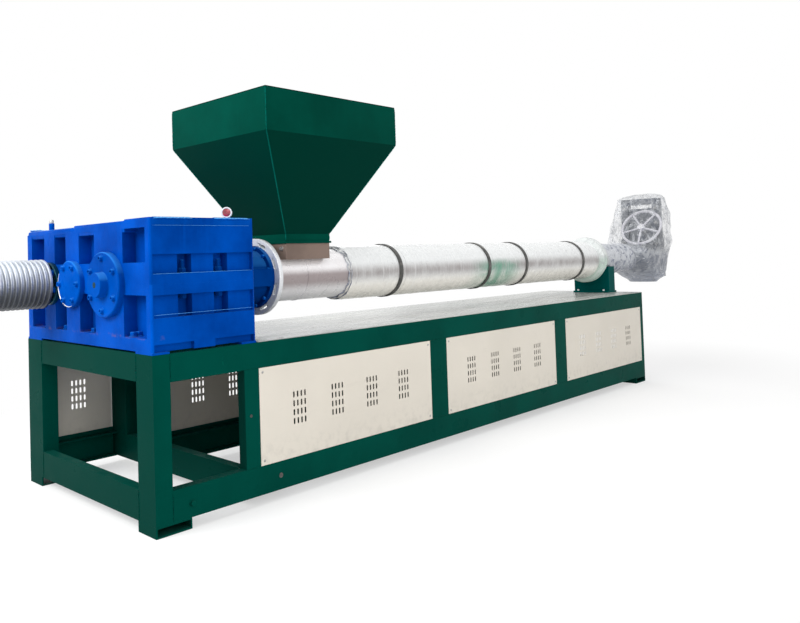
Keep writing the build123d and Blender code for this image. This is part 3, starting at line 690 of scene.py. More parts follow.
class Piece:
    """One named mesh in the making, in the machine's own frame."""

    def __init__(self, name: str) -> None:
        """Start an empty mesh.

        Args:
            name: The piece's name.
        """
        self.name = name
        self.mesh = bmesh.new()

    def bridge(self, rings: Sequence[Sequence[bmesh.types.BMVert]]) -> None:
        """Join each ring of points to the next with faces.

        Args:
            rings: Rings with the same number of points.
        """
        for low, high in zip(rings, rings[1:]):
            for n in range(len(low)):
                m = (n + 1) % len(low)
                self.mesh.faces.new((low[n], low[m], high[m], high[n]))

    def turned(self, outline: Sequence[tuple[float, float]], foot: Vector, axis: Vector, sides: int = 24,
               ripple: Callable[[float, float], float] | None = None) -> None:
        """Add an outline turned about an axis.

        Args:
            outline: Points as (distance along the axis, radius).
            foot: Where the axis starts.
            axis: The way it runs.
            sides: Points round the axis.
            ripple: Extra radius for a place along and round the axis.
        """
        turn = axis.normalized().to_track_quat("Z", "Y").to_matrix()
        rings = []
        for along, radius in outline:
            ring = []
            for n in range(sides):
                angle = 2 * math.pi * n / sides
                reach = radius + (ripple(along, angle) if ripple else 0.0)
                local = Vector((reach * math.cos(angle), reach * math.sin(angle), along))
                ring.append(self.mesh.verts.new(foot + turn @ local))
            rings.append(ring)
        self.bridge(rings)
        for ring, radius in ((rings[0], outline[0][1]), (rings[-1], outline[-1][1])):
            if radius > 0.0005:
                self.mesh.faces.new(ring)

    def block(self, low: Point, high: Point, rounding: float = 0.0) -> None:
        """Add a block with rounded edges.

        Args:
            low: Its lowest corner.
            high: Its highest corner.
            rounding: The radius on its edges.
        """
        size = Vector(high) - Vector(low)
        matrix = Matrix.Translation((Vector(low) + Vector(high)) / 2) @ Matrix.Diagonal((*size, 1.0))
        made = bmesh.ops.create_cube(self.mesh, size=1.0, matrix=matrix)
        if rounding > 0:
            edges = list({edge for vert in made["verts"] for edge in vert.link_edges})
            bmesh.ops.bevel(self.mesh, geom=edges, offset=rounding, segments=2, affect="EDGES", profile=0.6)

    def tube(self, path: Sequence[Vector], radius: Callable[[float], float], sides: int = 8) -> None:
        """Add a tube along a path, for welds, runs and ropes of film.

        Args:
            path: The points it follows.
            radius: Its radius for a share of the way along.
            sides: Points round it.
        """
        rings = []
        for n, point in enumerate(path):
            ahead = path[min(n + 1, len(path) - 1)] - path[max(n - 1, 0)]
            turn = ahead.normalized().to_track_quat("Z", "Y").to_matrix()
            reach = radius(n / (len(path) - 1))
            rings.append([self.mesh.verts.new(point + turn @ Vector(
                (reach * math.cos(2 * math.pi * k / sides), reach * math.sin(2 * math.pi * k / sides), 0)))
                for k in range(sides)])
        self.bridge(rings)
        self.mesh.faces.new(rings[0])
        self.mesh.faces.new(rings[-1])

    def weld(self, start: Point, stop: Point, radius: float = 0.0035) -> None:
        """Add a weld bead with its ripples.

        Args:
            start: Where the bead starts.
            stop: Where it ends.
            radius: The bead's radius.
        """
        a, b = Vector(start), Vector(stop)
        count = max(6, int((b - a).length / 0.006))
        path = []
        for n in range(count + 1):
            point = a.lerp(b, n / count)
            drift = noise.noise(point * 60) * radius * 0.3
            path.append(point + Vector((drift, drift, drift)))
        self.tube(path, lambda share: radius * (1.0 + 0.16 * math.sin(share * count * 2.1)) * min(
            1.0, 0.4 + share * count * 0.2, 0.4 + (1 - share) * count * 0.2), 6)

    def bolt(self, at: Point, way: Point, across: float, height: float, head: BoltHead = BoltHead.HEX,
             washer: bool = True) -> None:
        """Add a bolt or screw head that stands on a face.

        Args:
            at: The middle of its seat.
            way: The way it stands.
            across: Its width.
            height: Its height.
            head: The kind of head.
            washer: Whether a washer lies under it.
        """
        foot, axis = Vector(at), Vector(way).normalized()
        base = 0.0
        if washer:
            base = height * 0.2
            self.turned([(0, across * 0.68), (base * 0.7, across * 0.68), (base, across * 0.64),
                         (base, 0.0006)], foot, axis, 20)
        radius = across / 2
        if head is BoltHead.HEX:
            corner = radius / math.cos(math.pi / 6)
            outline = [(base, corner), (base + height * 0.82, corner), (base + height, corner * 0.86),
                       (base + height, 0.0006)]
        elif head is BoltHead.SOCKET:
            outline = [(base, radius), (base + height * 0.85, radius), (base + height, radius * 0.9),
                       (base + height, radius * 0.52), (base + height * 0.35, radius * 0.5),
                       (base + height * 0.3, 0.0004)]
        else:
            outline = [(base, radius), (base + height * 0.35, radius * 0.98),
                       (base + height * 0.72, radius * 0.8), (base + height * 0.95, radius * 0.45),
                       (base + height * 0.7, radius * 0.2), (base + height * 0.62, 0.0004)]
        self.turned(outline, foot, axis, head.value)

    def done(self, finish: object, body: Body = Body.ROOT, slot: Slot | None = None, smooth: float = 35.0,
             replaces: Sequence[str] = ()) -> bpy.types.Object:
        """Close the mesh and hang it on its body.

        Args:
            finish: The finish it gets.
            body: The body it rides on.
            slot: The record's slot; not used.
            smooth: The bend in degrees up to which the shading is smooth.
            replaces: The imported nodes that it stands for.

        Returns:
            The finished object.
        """
        bmesh.ops.recalc_face_normals(self.mesh, faces=self.mesh.faces)
        data = bpy.data.meshes.new(self.name)
        self.mesh.to_mesh(data)
        self.mesh.free()
        piece = bpy.data.objects.new(self.name, data)
        bpy.context.scene.collection.objects.link(piece)
        data.materials.append(Finishes.get(finish))
        data.shade_smooth()
        data.set_sharp_from_angle(angle=math.radians(smooth))
        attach(piece, body.value)
        if replaces:
            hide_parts(*replaces)
        LOG.info("piece %s: %d faces", self.name, len(data.polygons))
        return piece


@dataclass
class Studio:
    """The floor, the soft light and the camera at the photograph's angle.

    Fields:
        place: The camera's place.
        heading: The way it looks, in radians from +X towards +Y.
        rise: How far it looks up, in radians.
        roll: How far it leans, in radians.
        focal: The focal length on a 36 mm sensor.
        shift: The picture's shift, right and up.
    """

    place: Point = (-4.760, -3.469, 1.212)
    heading: float = 0.8178
    rise: float = 0.0285
    roll: float = -0.0292
    focal: float = 33.62
    shift: tuple[float, float] = (0.125, -0.0956)

    def build(self) -> None:
        """Make the floor, the world, the lamps and the camera."""
        self.make_camera()
        self.make_world()
        self.make_floor()
        lamps = (("key_light", (-5.0, -6.5, 5.5), (0, 0, 0.9), 6.0, 205),
                 ("top_light", (0.0, 0.5, 6.5), (0, 0, 0.8), 7.0, 175),
                 ("back_light", (4.0, 6.5, 5.0), (0, 0, 1.0), 5.0, 120),
                 ("side_light", (-6.8, 0.3, 3.8), (-3.2, 0, 1.4), 3.0, 290),
                 ("low_fill_light", (-1.5, -7.0, 1.9), (-0.5, 0, 1.0), 3.5, 88))
        for name, place, aim, size, power in lamps:
            self.make_lamp(name, place, aim, size, power)

    def make_camera(self) -> None:
        """Set the camera where the photograph was taken."""
        cp, sp = math.cos(self.rise), math.sin(self.rise)
        ahead = Vector((cp * math.cos(self.heading), cp * math.sin(self.heading), sp))
        right = Vector((math.sin(self.heading), -math.cos(self.heading), 0))
        up = right.cross(ahead)
        level_right = right * math.cos(self.roll) + up * math.sin(self.roll)
        level_up = up * math.cos(self.roll) - right * math.sin(self.roll)
        data = bpy.data.cameras.new("camera")
        data.sensor_width = 36.0
        data.lens = self.focal
        data.shift_x, data.shift_y = self.shift
        data.clip_start, data.clip_end = 0.05, 200.0
        camera = bpy.data.objects.new("camera", data)
        matrix = Matrix((level_right, level_up, -ahead)).transposed().to_4x4()
        matrix.translation = Vector(self.place)
        camera.matrix_world = matrix
        bpy.context.scene.collection.objects.link(camera)
        bpy.context.scene.camera = camera

    def make_world(self) -> None:
        """Make a soft pale surround that is white where it is seen or mirrored."""
        world = bpy.data.worlds.new("soft_surround")
        bpy.context.scene.world = world
        world.use_nodes = True
        tree = world.node_tree
        tree.nodes.clear()
        ray = tree.nodes.new("ShaderNodeLightPath")
        looked = ray.outputs["Is Camera Ray"]
        for kind in ("Is Glossy Ray", "Is Transmission Ray"):
            either = tree.nodes.new("ShaderNodeMath")
            either.operation = "MAXIMUM"
            tree.links.new(looked, either.inputs[0])
            tree.links.new(ray.outputs[kind], either.inputs[1])
            looked = either.outputs[0]
        strength = tree.nodes.new("ShaderNodeMapRange")
        strength.inputs["To Min"].default_value = 0.52
        strength.inputs["To Max"].default_value = 1.0
        tree.links.new(looked, strength.inputs["Value"])
        light = tree.nodes.new("ShaderNodeBackground")
        light.inputs["Color"].default_value = (1, 1, 1, 1)
        tree.links.new(strength.outputs[0], light.inputs["Strength"])
        output = tree.nodes.new("ShaderNodeOutputWorld")
        tree.links.new(light.outputs[0], output.inputs["Surface"])
        bpy.context.scene.view_settings.view_transform = "Standard"

    def make_floor(self) -> None:
        """Make the plain pale floor, which keeps the machine's shadow."""
        data = bpy.data.meshes.new("floor")
        reach = 60.0
        data.from_pydata([(-reach, -reach, 0), (reach, -reach, 0), (reach, reach, 0), (-reach, reach, 0)], [],
                         [(0, 1, 2, 3)])
        floor = bpy.data.objects.new("floor", data)
        bpy.context.scene.collection.objects.link(floor)
        data.materials.append(self.floor_paint())

    def floor_paint(self) -> bpy.types.Material:
        """Return the floor's paint: it keeps the shadow near the machine and is plain white further off."""
        graph = Graph("pale_floor")
        ray = graph.add("LightPath")
        seen = graph.add("Mix", {0: ray.outputs["Is Camera Ray"]}, data_type="RGBA")
        seen.inputs[6].default_value = (0.70, 0.70, 0.70, 1)
        seen.inputs[7].default_value = (0.98, 0.98, 0.98, 1)
        ground = graph.add("BsdfDiffuse", {"Color": seen.outputs[2]})
        white = graph.add("Emission", {"Color": (1, 1, 1, 1), "Strength": 1.0})
        x, y, _ = graph.axes()[0:3]
        round_x = graph.math("POWER", graph.math("DIVIDE", x, 4.2), 2.0)
        round_y = graph.math("POWER", graph.math("DIVIDE", y, 2.3), 2.0)
        away = graph.level(graph.math("ADD", round_x, round_y), 0.7, 1.7, 0.5, 1.0)
        looked = ray.outputs["Is Camera Ray"]
        for kind in ("Is Glossy Ray", "Is Transmission Ray"):
            looked = graph.math("MAXIMUM", looked, ray.outputs[kind])
        surface = graph.add("MixShader", {0: graph.times(away, looked), 1: ground.outputs[0],
                                          2: white.outputs[0]})
        output = graph.add("OutputMaterial")
        graph.tree.links.new(surface.outputs[0], output.inputs["Surface"])
        return graph.material

    def make_lamp(self, name: str, place: Point, aim: Point, size: float, power: float) -> None:
        """Make one large soft lamp.

        Args:
            name: The lamp's name.
            place: Where it hangs.
            aim: What it points at.
            size: The side of its face.
            power: Its power in watts.
        """
        data = bpy.data.lights.new(name, "AREA")
        data.shape = "SQUARE"
        data.size = size
        data.energy = power
        lamp = bpy.data.objects.new(name, data)
        lamp.location = place
        lamp.rotation_euler = (Vector(aim) - Vector(place)).to_track_quat("-Z", "Y").to_euler()
        bpy.context.scene.collection.objects.link(lamp)


@dataclass
class Bed:
    """The welded bed with its panels, deck sheet, screws, beads, and dark discs painted as the shade of
    holes.

    Fields:
        screw_inset: How far a panel's screws stand in from its corners.
        screw_across: The width of a panel screw's head.
        bead: The radius of the weld beads.
        post_length: A corner post's length along the machine.
        post_depth: Its depth across the machine.
        wing_post_depth: The depth of the post behind the gearbox.
        end_post_length: The length of the posts at the far end.
    """

    screw_inset: float = 0.022
    screw_across: float = 0.013
    bead: float = 0.0032
    post_length: float = 0.090
    post_depth: float = 0.140
    wing_post_depth: float = 0.170
    end_post_length: float = 0.056

    def build(self) -> None:
        """Dress the bed's nodes and add its fasteners, beads, runs, and dark discs painted as the shade of
        holes.
        """
        green = ["bottom_rails", "top_rails", "wing_rails", "panel_ledges", "bed_posts", "bottom_cross_rails",
                 "top_cross_rails", "feet", "step_cover"]
        dress(green, Finishes.bed, 0.0022)
        panels = [f"{side}_panel_{n}" for side in ("front", "back") for n in (1, 2, 3)] + ["wing_panel"]
        dress(panels, Finishes.panel)
        dress(["deck_plate"], Finishes.deck, 0.0012)
        self.fasten_panels(panels)
        self.fasten_deck()
        self.weld_joints()
        self.shade_holes()
        self.run_paint()

    def fasten_panels(self, panels: Sequence[str]) -> None:
        """Put a screw in each corner of each panel.

        Args:
            panels: The panels' names.
        """
        for side, way in (("front", -1), ("back", 1)):
            piece = Piece(f"{side}_panel_screws")
            for name in panels:
                low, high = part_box(name)
                if (side == "front") != name.startswith("front"):
                    continue
                face = low.y if way < 0 else high.y
                for x in (low.x + self.screw_inset, high.x - self.screw_inset):
                    for z in (low.z + self.screw_inset, high.z - self.screw_inset):
                        piece.bolt((x, face - way * 0.0002, z), (0, way, 0), self.screw_across, 0.0042,
                                   BoltHead.PAN, washer=False)
            piece.done(Finishes.screw, slot=Slot.STEEL)

    def fasten_deck(self) -> None:
        """Put flat screws along the deck sheet's front and back edges."""
        low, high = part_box("deck_plate")
        piece = Piece("deck_screws")
        count, margin = 9, 0.18
        for n in range(count):
            x = low.x + margin + (high.x - low.x - 2 * margin) * n / (count - 1)
            for y in (low.y + 0.028, high.y - 0.028):
                piece.bolt((x, y, high.z - 0.0004), (0, 0, 1), 0.012, 0.0022, BoltHead.PAN, washer=False)
        piece.done(Finishes.screw, slot=Slot.STEEL)

    def weld_joints(self) -> None:
        """Lay beads in the inner corners where posts meet rails."""
        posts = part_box("bed_posts")
        rail_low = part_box("bottom_rails")[1].z
        rail_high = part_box("top_rails")[0].z
        piece = Piece("bed_welds")
        front, back, wing = posts[0].y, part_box("deck_plate")[1].y, posts[1].y
        drive, far = posts[0].x, posts[1].x
        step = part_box("deck_plate")[0].x
        rail_x, step_x = drive + self.post_length, step - self.post_length
        drive_rows = (front + self.post_depth, wing - self.wing_post_depth)
        for z in (rail_low, rail_high):
            piece.weld((rail_x, front + 0.004, z), (step_x, front + 0.004, z), self.bead * 0.5)
            for x in (rail_x, step_x):
                piece.weld((x, front + 0.002, z), (x, front + 0.052, z), self.bead)
            for y in drive_rows:
                piece.weld((drive + 0.002, y, z), (drive + self.end_post_length, y, z), self.bead)
            for y in (front + self.post_depth, back - self.post_depth):
                piece.weld((far - self.end_post_length, y, z), (far - 0.002, y, z), self.bead)
        for low, high in ((0.052, rail_low - 0.002), (rail_high + 0.002, 0.794)):
            piece.weld((rail_x, front - 0.0006, low), (rail_x, front - 0.0006, high), self.bead * 0.6)
            for y in drive_rows:
                piece.weld((drive - 0.0006, y, low), (drive - 0.0006, y, high), self.bead * 0.6)
        seam = 0.0505
        for x0, x1, y0, y1 in self.feet_corners():
            for y in (y0, y1):
                piece.weld((x0 + 0.01, y, seam), (x1 - 0.01, y, seam), self.bead)
            for x in (x0, x1):
                piece.weld((x, y0 + 0.01, seam), (x, y1 - 0.01, seam), self.bead * 0.8)
        piece.done(Finishes.bed, slot=Slot.BED, smooth=80)

    def feet_corners(self) -> list[tuple[float, float, float, float]]:
        """Return each foot's range in X and Y."""
        low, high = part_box("feet")
        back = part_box("deck_plate")[1].y
        length, width = 0.190, 0.150
        corners = [(low.x, low.y), (low.x, high.y - width), (high.x - length, low.y),
                   (high.x - length, back - width)]
        inset = 0.002
        return [(x + inset, x + length - inset, y + inset, y + width - inset) for x, y in corners]

    def shade_holes(self) -> None:
        """Put a dark disc on the front rail and one on the post as painted shade of holes, and the stub
        beside the foot.
        """
        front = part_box("bed_posts")[0].y
        piece = Piece("rail_hole_shade")
        # Painted shade: shallow dark discs stand where the holes are.
        for x, z, radius in ((-2.276, 0.121, 0.013), (-2.458, 0.445, 0.008)):
            piece.turned([(0.0, radius), (0.0016, radius * 0.94), (0.0016, radius * 0.8), (0.0004, 0.0004)],
                         Vector((x, front - 0.0004, z)), Vector((0, -1, 0)), 24)
        piece.done(Finishes.strap, slot=Slot.BED)
        stub = Piece("earth_stub")
        stub.bolt((-2.813, front, 0.114), (0, -1, 0), 0.022, 0.012, BoltHead.HEX)
        stub.done(Finishes.bed, slot=Slot.BED)

    def run_paint(self) -> None:
        """Add a few runs of enamel where it sagged on the rails."""
        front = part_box("bed_posts")[0].y
        piece = Piece("paint_runs")
        for x, top, length, radius in ((0.097, 0.172, 0.05, 0.0035), (0.865, 0.165, 0.07, 0.004),
                                       (1.017, 0.160, 0.055, 0.004), (1.667, 0.79, 0.04, 0.003),
                                       (-2.62, 0.77, 0.06, 0.003), (-0.42, 0.168, 0.045, 0.003)):
            path = [Vector((x + 0.0006 * math.sin(n), front + 0.0012, top - length * n / 7))
                    for n in range(8)]
            piece.tube(path, lambda share, r=radius: r * (0.35 + 0.65 * share ** 2 if share < 0.9 else 0.75))
        piece.done(Finishes.runs, slot=Slot.BED, smooth=80)


@dataclass
class Gearbox:
    """The blue cast gearbox with its caps, cap bolts, studs, edge pads, gauge and breather.

    Fields:
        bolt_across: The width of a cap bolt.
        stud_radius: The radius of the studs in the side pockets.
    """

    bolt_across: float = 0.026
    stud_radius: float = 0.010

    def build(self) -> None:
        """Dress the casting and add its fasteners and fittings."""
        dress(["gearbox_base", "gearbox_cover"], Finishes.casting, 0.0055)
        dress(["thrust_housing"], Finishes.housing, 0.004)
        dress(["output_cap", "middle_cap"], Finishes.cap, 0.0015)
        dress(["input_cap"], Finishes.dark_cap, 0.0015)
        dress(["breather"], Finishes.cap, 0.002)
        self.bolt_caps()
        self.plug_hub()
        self.stand_studs()
        self.pad_edges()
        self.lay_highlight_beads()
        self.crown_cover()
        self.cap_breather()
        self.make_gauge()
        self.bolt_flanges()
        self.pale_arc()

    def bolt_caps(self) -> None:
        """Put a ring of socket screws round each bearing cap."""
        piece = Piece("cap_bolts")
        count, share = 6, 0.80
        for name, start, thickness in (("output_cap", 30.0, 0.032), ("middle_cap", 0.0, 0.030),
                                       ("input_cap", 20.0, 0.026)):
            low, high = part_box(name)
            centre = end_middle(low, high)
            radius = (high.z - low.z) / 2
            for n in range(count):
                angle = math.radians(start + 360 * n / count)
                place = centre + Vector((0, math.cos(angle), math.sin(angle))) * radius * share
                place.x = high.x - thickness + 0.001
                piece.bolt(place, (-1, 0, 0), self.bolt_across, 0.013, BoltHead.SOCKET)
        piece.done(Finishes.cap, slot=Slot.GEARBOX)

    def plug_hub(self) -> None:
        """Plug the centre hole of the output cap's hub."""
        low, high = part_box("output_cap")
        piece = Piece("output_hub_plug")
        centre = Vector((low.x - 0.0005, (low.y + high.y) / 2, (low.z + high.z) / 2))
        piece.turned([(0.0, 0.0145), (0.012, 0.0142), (0.012, 0.0004)], centre, Vector((1, 0, 0)), 24)
        piece.done(Finishes.dark_cap, slot=Slot.GEARBOX)

    def stand_studs(self) -> None:
        """Stand a stud with its nut in each pocket beside the split."""
        piece = Piece("split_studs")
        low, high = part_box("gearbox_cover")
        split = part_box("output_cap")
        middle = (split[0].z + split[1].z) / 2
        for x in (low.x + 0.1925, low.x + 0.3975):
            for y in (low.y + 0.040, high.y - 0.040):
                foot = Vector((x, y, middle + 0.046))
                piece.turned([(0.0, self.stud_radius), (0.058, self.stud_radius),
                              (0.062, self.stud_radius * 0.7), (0.062, 0.0005)], foot, Vector((0, 0, 1)), 16)
                piece.bolt(foot, (0, 0, 1), 0.034, 0.020)
                piece.bolt(Vector((x, y, middle - 0.046)), (0, 0, -1), 0.034, 0.020)
        piece.done(Finishes.housing, slot=Slot.GEARBOX)

    def pad_edges(self) -> None:
        """Add the raised pads along the cover's top edge at the front; their pale rounded edges are painted
        highlights.
        """
        low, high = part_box("gearbox_cover")
        piece = Piece("cover_edge_pads")
        for start, stop in ((0.012, 0.235), (0.345, 0.575)):
            piece.block((low.x + start, low.y - 0.004, high.z - 0.038),
                        (low.x + stop, low.y + 0.035, high.z + 0.003), 0.016)
        piece.done(Finishes.pad, slot=Slot.GEARBOX)

    def lay_highlight_beads(self) -> None:
        """Lay thick beads of enamel along the ledges and the top edges, front and back, in the pale pad
        finish: painted highlight lines on the edges.
        """
        low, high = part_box("gearbox_cover")
        piece = Piece("ledge_highlight_beads")
        for side in (low.y + 0.0008, high.y - 0.0008):
            for z in (high.z - 0.0375, 1.1515, 0.9695):
                piece.weld((low.x + 0.014, side, z), (high.x - 0.014, side, z), 0.0020)
        top = high.z - 0.006
        for start, stop in ((0.020, 0.228), (0.352, 0.568)):
            for side in (low.y - 0.0006, high.y + 0.0006):
                piece.weld((low.x + start, side, top), (low.x + stop, side, top), 0.0062)
        piece.done(Finishes.pad, slot=Slot.GEARBOX, smooth=80)

    def crown_cover(self) -> None:
        """Raise the cover's two lower steps and round their edges."""
        low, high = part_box("gearbox_cover")
        piece = Piece("cover_top_crown")
        inset, underside = 0.0008, 1.345
        middle_step = (-0.412, 0.088, 1.400, 0.006)
        back_step = (0.080, high.y - 0.006, 1.394, 0.019)
        for start, stop, top, rounding in (middle_step, back_step):
            piece.block((low.x + inset, start, underside), (high.x - inset, stop, top), rounding)
        piece.done(Finishes.casting, slot=Slot.GEARBOX)

    def cap_breather(self) -> None:
        """Put the knob on the breather."""
        low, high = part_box("breather")
        piece = Piece("breather_knob")
        foot = Vector(((low.x + high.x) / 2, (low.y + high.y) / 2, high.z - 0.001))
        piece.turned([(0.0, 0.011), (0.014, 0.012), (0.020, 0.010), (0.022, 0.0005)], foot,
                     Vector((0, 0, 1)), 20)
        piece.done(Finishes.screw, slot=Slot.STEEL)

    def bolt_flanges(self) -> None:
        """Bolt the gearbox's base to its pads and the thrust housing to its ring."""
        piece = Piece("thrust_bolts")
        low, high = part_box("thrust_housing")
        centre = Vector((high.x - 0.026, (low.y + high.y) / 2, 1.105))
        for n in range(12):
            angle = math.radians(15 + 30 * n)
            place = centre + Vector((0, math.cos(angle), math.sin(angle))) * 0.161
            piece.bolt(place, (-1, 0, 0), 0.018, 0.012, BoltHead.HEX, washer=False)
        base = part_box("gearbox_base")[0]
        for x in (base.x + 0.030, base.x + 0.060):
            for y in (base.y + 0.205, base.y + 0.575, base.y + 0.875):
                piece.bolt((x, y, 0.8663), (0, 0, 1), 0.030, 0.018)
        piece.done(Finishes.cap, slot=Slot.GEARBOX)

    def pale_arc(self) -> None:
        """Add a pale steel arc along part of the middle cap's edge."""
        low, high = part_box("middle_cap")
        centre = end_middle(low, high)
        radius = (high.z - low.z) / 2
        piece = Piece("middle_cap_pale_edge")
        count = 26
        path = []
        for n in range(count + 1):
            angle = math.radians(28 - 135 * n / count)
            path.append(Vector((low.x + 0.0005, centre.y + math.cos(angle) * (radius - 0.004),
                                centre.z + math.sin(angle) * (radius - 0.004))))
        piece.tube(path, lambda share: 0.0034 * (0.3 + 0.7 * math.sin(math.pi * share)), 8)
        piece.done(Finishes.ring, slot=Slot.STEEL, smooth=80)

    def make_gauge(self) -> None:
        """Make the oil gauge: a pale rim round a red window on a short stem."""
        low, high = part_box("oil_gauge")
        facing = Vector((-math.sqrt(0.5), -math.sqrt(0.5), 0))
        centre = Vector(((low.x + high.x) / 2, (low.y + high.y) / 2, high.z - 0.027))
        dress(["oil_gauge"], Finishes.ring, 0.001)
        rim = Piece("gauge_rim")
        rim.turned([(0.0, 0.0275), (0.013, 0.0278), (0.016, 0.0262), (0.016, 0.0215), (0.0125, 0.0205)],
                   centre - facing * 0.001, facing, 40)
        rim.done(Finishes.ring, slot=Slot.STEEL)
        window = Piece("gauge_window")
        window.turned([(0.010, 0.0208), (0.0132, 0.0206), (0.0145, 0.013), (0.015, 0.0005)],
                      centre, facing, 32)
        window.done(Finishes.gauge, slot=Slot.GAUGE)


@dataclass
class BeltDrive:
    """The grooved pulley and its shaft."""

    def build(self) -> None:
        """Dress the pulley and the shaft, and add the key."""
        dress(["drive_pulley"], Finishes.pulley, 0.0012)
        dress(["input_shaft"], Finishes.shaft, 0.001)
        low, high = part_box("drive_pulley")
        centre = end_middle(low, high)
        piece = Piece("pulley_key")
        piece.block((low.x - 0.0004, centre.y - 0.009, centre.z + 0.024),
                    (low.x + 0.05, centre.y + 0.009, centre.z + 0.040), 0.001)
        piece.done(Finishes.steel, Body.PULLEY, Slot.STEEL)


@dataclass
class Barrel:
    """The bare barrel, its film-wound covers, straps, flange and adaptor.

    Fields:
        along_step: The spacing of the film's rings of points.
        sides: Points round a wound cover.
        crumple: How deep the film's crumples are.
        jacket_radius: The radius of the bare jacket before the first cover.
        axis_y: The screw axis's place across the machine.
        axis_z: The screw axis's height.
        cover_start: Where the first cover starts.
    """

    along_step: float = 0.007
    sides: int = 112
    crumple: float = 0.0017
    jacket_radius: float = 0.1455
    axis_y: float = field(init=False)
    axis_z: float = field(init=False)
    cover_start: float = field(init=False)

    def build(self) -> None:
        """Dress the barrel and wind the film."""
        dress(["barrel", "feed_section"], Finishes.barrel, 0.0015)
        dress(["coupling_ring"], Finishes.ring, 0.002)
        dress(["barrel_saddle"], Finishes.saddle, 0.003)
        dress(["barrel_straps"], Finishes.strap, 0.001)
        low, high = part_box("coupling_ring")
        self.axis_y, self.axis_z = (low.y + high.y) / 2, (low.z + high.z) / 2
        self.cover_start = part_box("barrel_covers")[0].x
        self.wind_covers()
        self.sleeve_feed()
        self.gather_start()
        self.fold_start()
        self.wind_flange()
        self.wind_adaptor()
        self.bolt_saddle()
        self.bolt_ring()

    def round_screw(self, x: float, reach: float, angle: float) -> Vector:
        """Return a point round the screw's axis.

        Args:
            x: The place along the machine.
            reach: How far it is from the axis.
            angle: The angle round the axis.

        Returns:
            The point.
        """
        return Vector((x, self.axis_y + reach * math.cos(angle), self.axis_z + reach * math.sin(angle)))

    def wrinkle(self, x: float, angle: float, depth: float) -> float:
        """Return how far the film stands out at a place.

        Args:
            x: The place along the machine.
            angle: The angle round the barrel.
            depth: The depth of the crumples.

        Returns:
            The extra radius.
        """
        round_y, round_z = math.cos(angle) * 0.17, math.sin(angle) * 0.17
        folds = noise.fractal(Vector((x * 16, round_y * 7, round_z * 7)), 1.0, 2.0, 4)
        rings = math.sin(x * 150 + 1.4 * noise.noise(Vector((x * 5, round_y * 6, round_z * 6))) * 4)
        return depth * folds + depth * 0.22 * rings

    def wound(self, name: str, outline: Callable[[float], float], start: float, stop: float, finish: object,
              depth: float, replaces: Sequence[str] = ()) -> bpy.types.Object:
        """Wind film over a round form.

        Args:
            name: The piece's name.
            outline: The radius at a place along the machine.
            start: Where the piece starts.
            stop: Where it ends.
            finish: The film's finish.
            depth: The depth of its crumples.
            replaces: The nodes it stands for.

        Returns:
            The wound piece.
        """
        piece = Piece(name)
        length = stop - start
        count = max(4, round(length / self.along_step))
        line = [(n / count * length, outline(start + n / count * length)) for n in range(count + 1)]
        piece.turned(line, Vector((start, self.axis_y, self.axis_z)), Vector((1, 0, 0)), self.sides,
                     ripple=lambda along, angle: self.wrinkle(start + along, angle, depth))
        return piece.done(finish, slot=Slot.WRAP, smooth=70, replaces=replaces)

    def wind_covers(self) -> None:
        """Wind film over each cover of the barrel."""
        low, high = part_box("barrel_covers")
        lengths = (0.510, 1.016, 0.520, 0.936, 0.250)
        start = low.x
        for number, length in enumerate(lengths, 1):
            stop = start + length - 0.002

            def outline(x: float, a: float = start, b: float = stop) -> float:
                """Return the cover's radius, drawn in at both ends."""
                ends = min(1.0, (x - a) / 0.045, (b - x) / 0.045)
                return 0.1625 + 0.0042 * math.sin(max(0.0, ends) * math.pi / 2)

            self.wound(f"film_sleeve_{number}", outline, start, stop, Finishes.film_sleeve, self.crumple,
                       ["barrel_covers"])
            start += length

    def gather_edge(self, angle: float) -> float:
        """Return where the film's loose start lies, for an angle round the barrel."""
        wander = 0.030 * noise.noise(Vector((math.cos(angle) * 3.5, math.sin(angle) * 3.5, 7.0)))
        jags = 0.012 * noise.noise(Vector((math.cos(angle) * 11, math.sin(angle) * 11, 2.0)))
        return self.cover_start - 0.022 + wander + jags

    def sleeve_feed(self) -> None:
        """Put the bare jacket between the coupling ring and the first cover."""
        start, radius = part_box("coupling_ring")[1].x + 0.0005, self.jacket_radius
        length = self.cover_start + 0.002 - start
        seam = length - 0.352
        outline = [(0.0, 0.1225), (0.0, radius - 0.004), (0.004, radius), (seam - 0.006, radius),
                   (seam - 0.004, radius + 0.003), (seam + 0.002, radius + 0.003),
                   (seam + 0.003, radius - 0.003), (seam + 0.006, radius), (length - 0.002, radius),
                   (length, radius - 0.002)]
        piece = Piece("feed_jacket")
        piece.turned(outline, Vector((start, self.axis_y, self.axis_z)), Vector((1, 0, 0)), 96)
        piece.done(Finishes.barrel, slot=Slot.STEEL)

    def gather_start(self) -> None:
        """Gather the film's loose start on the jacket."""
        end = self.cover_start + 0.003
        piece = Piece("film_gather")
        sides, rows = 160, 10
        rings = []
        for r in range(rows + 1):
            share = r / rows
            ring = []
            for n in range(sides):
                angle = 2 * math.pi * n / sides
                spot = Vector((math.cos(angle) * 3, math.sin(angle) * 3, share * 2))
                pull = noise.fractal(spot, 1.0, 2.0, 4)
                reach = self.jacket_radius + 0.002 + 0.016 * share + 0.006 * pull * math.sin(math.pi * share)
                reach = max(reach, self.jacket_radius + 0.001)
                edge = self.gather_edge(angle)
                ring.append(piece.mesh.verts.new(self.round_screw(edge + share * (end - edge), reach, angle)))
            rings.append(ring)
        piece.bridge(rings)
        piece.done(Finishes.film_sleeve, slot=Slot.WRAP, smooth=70)

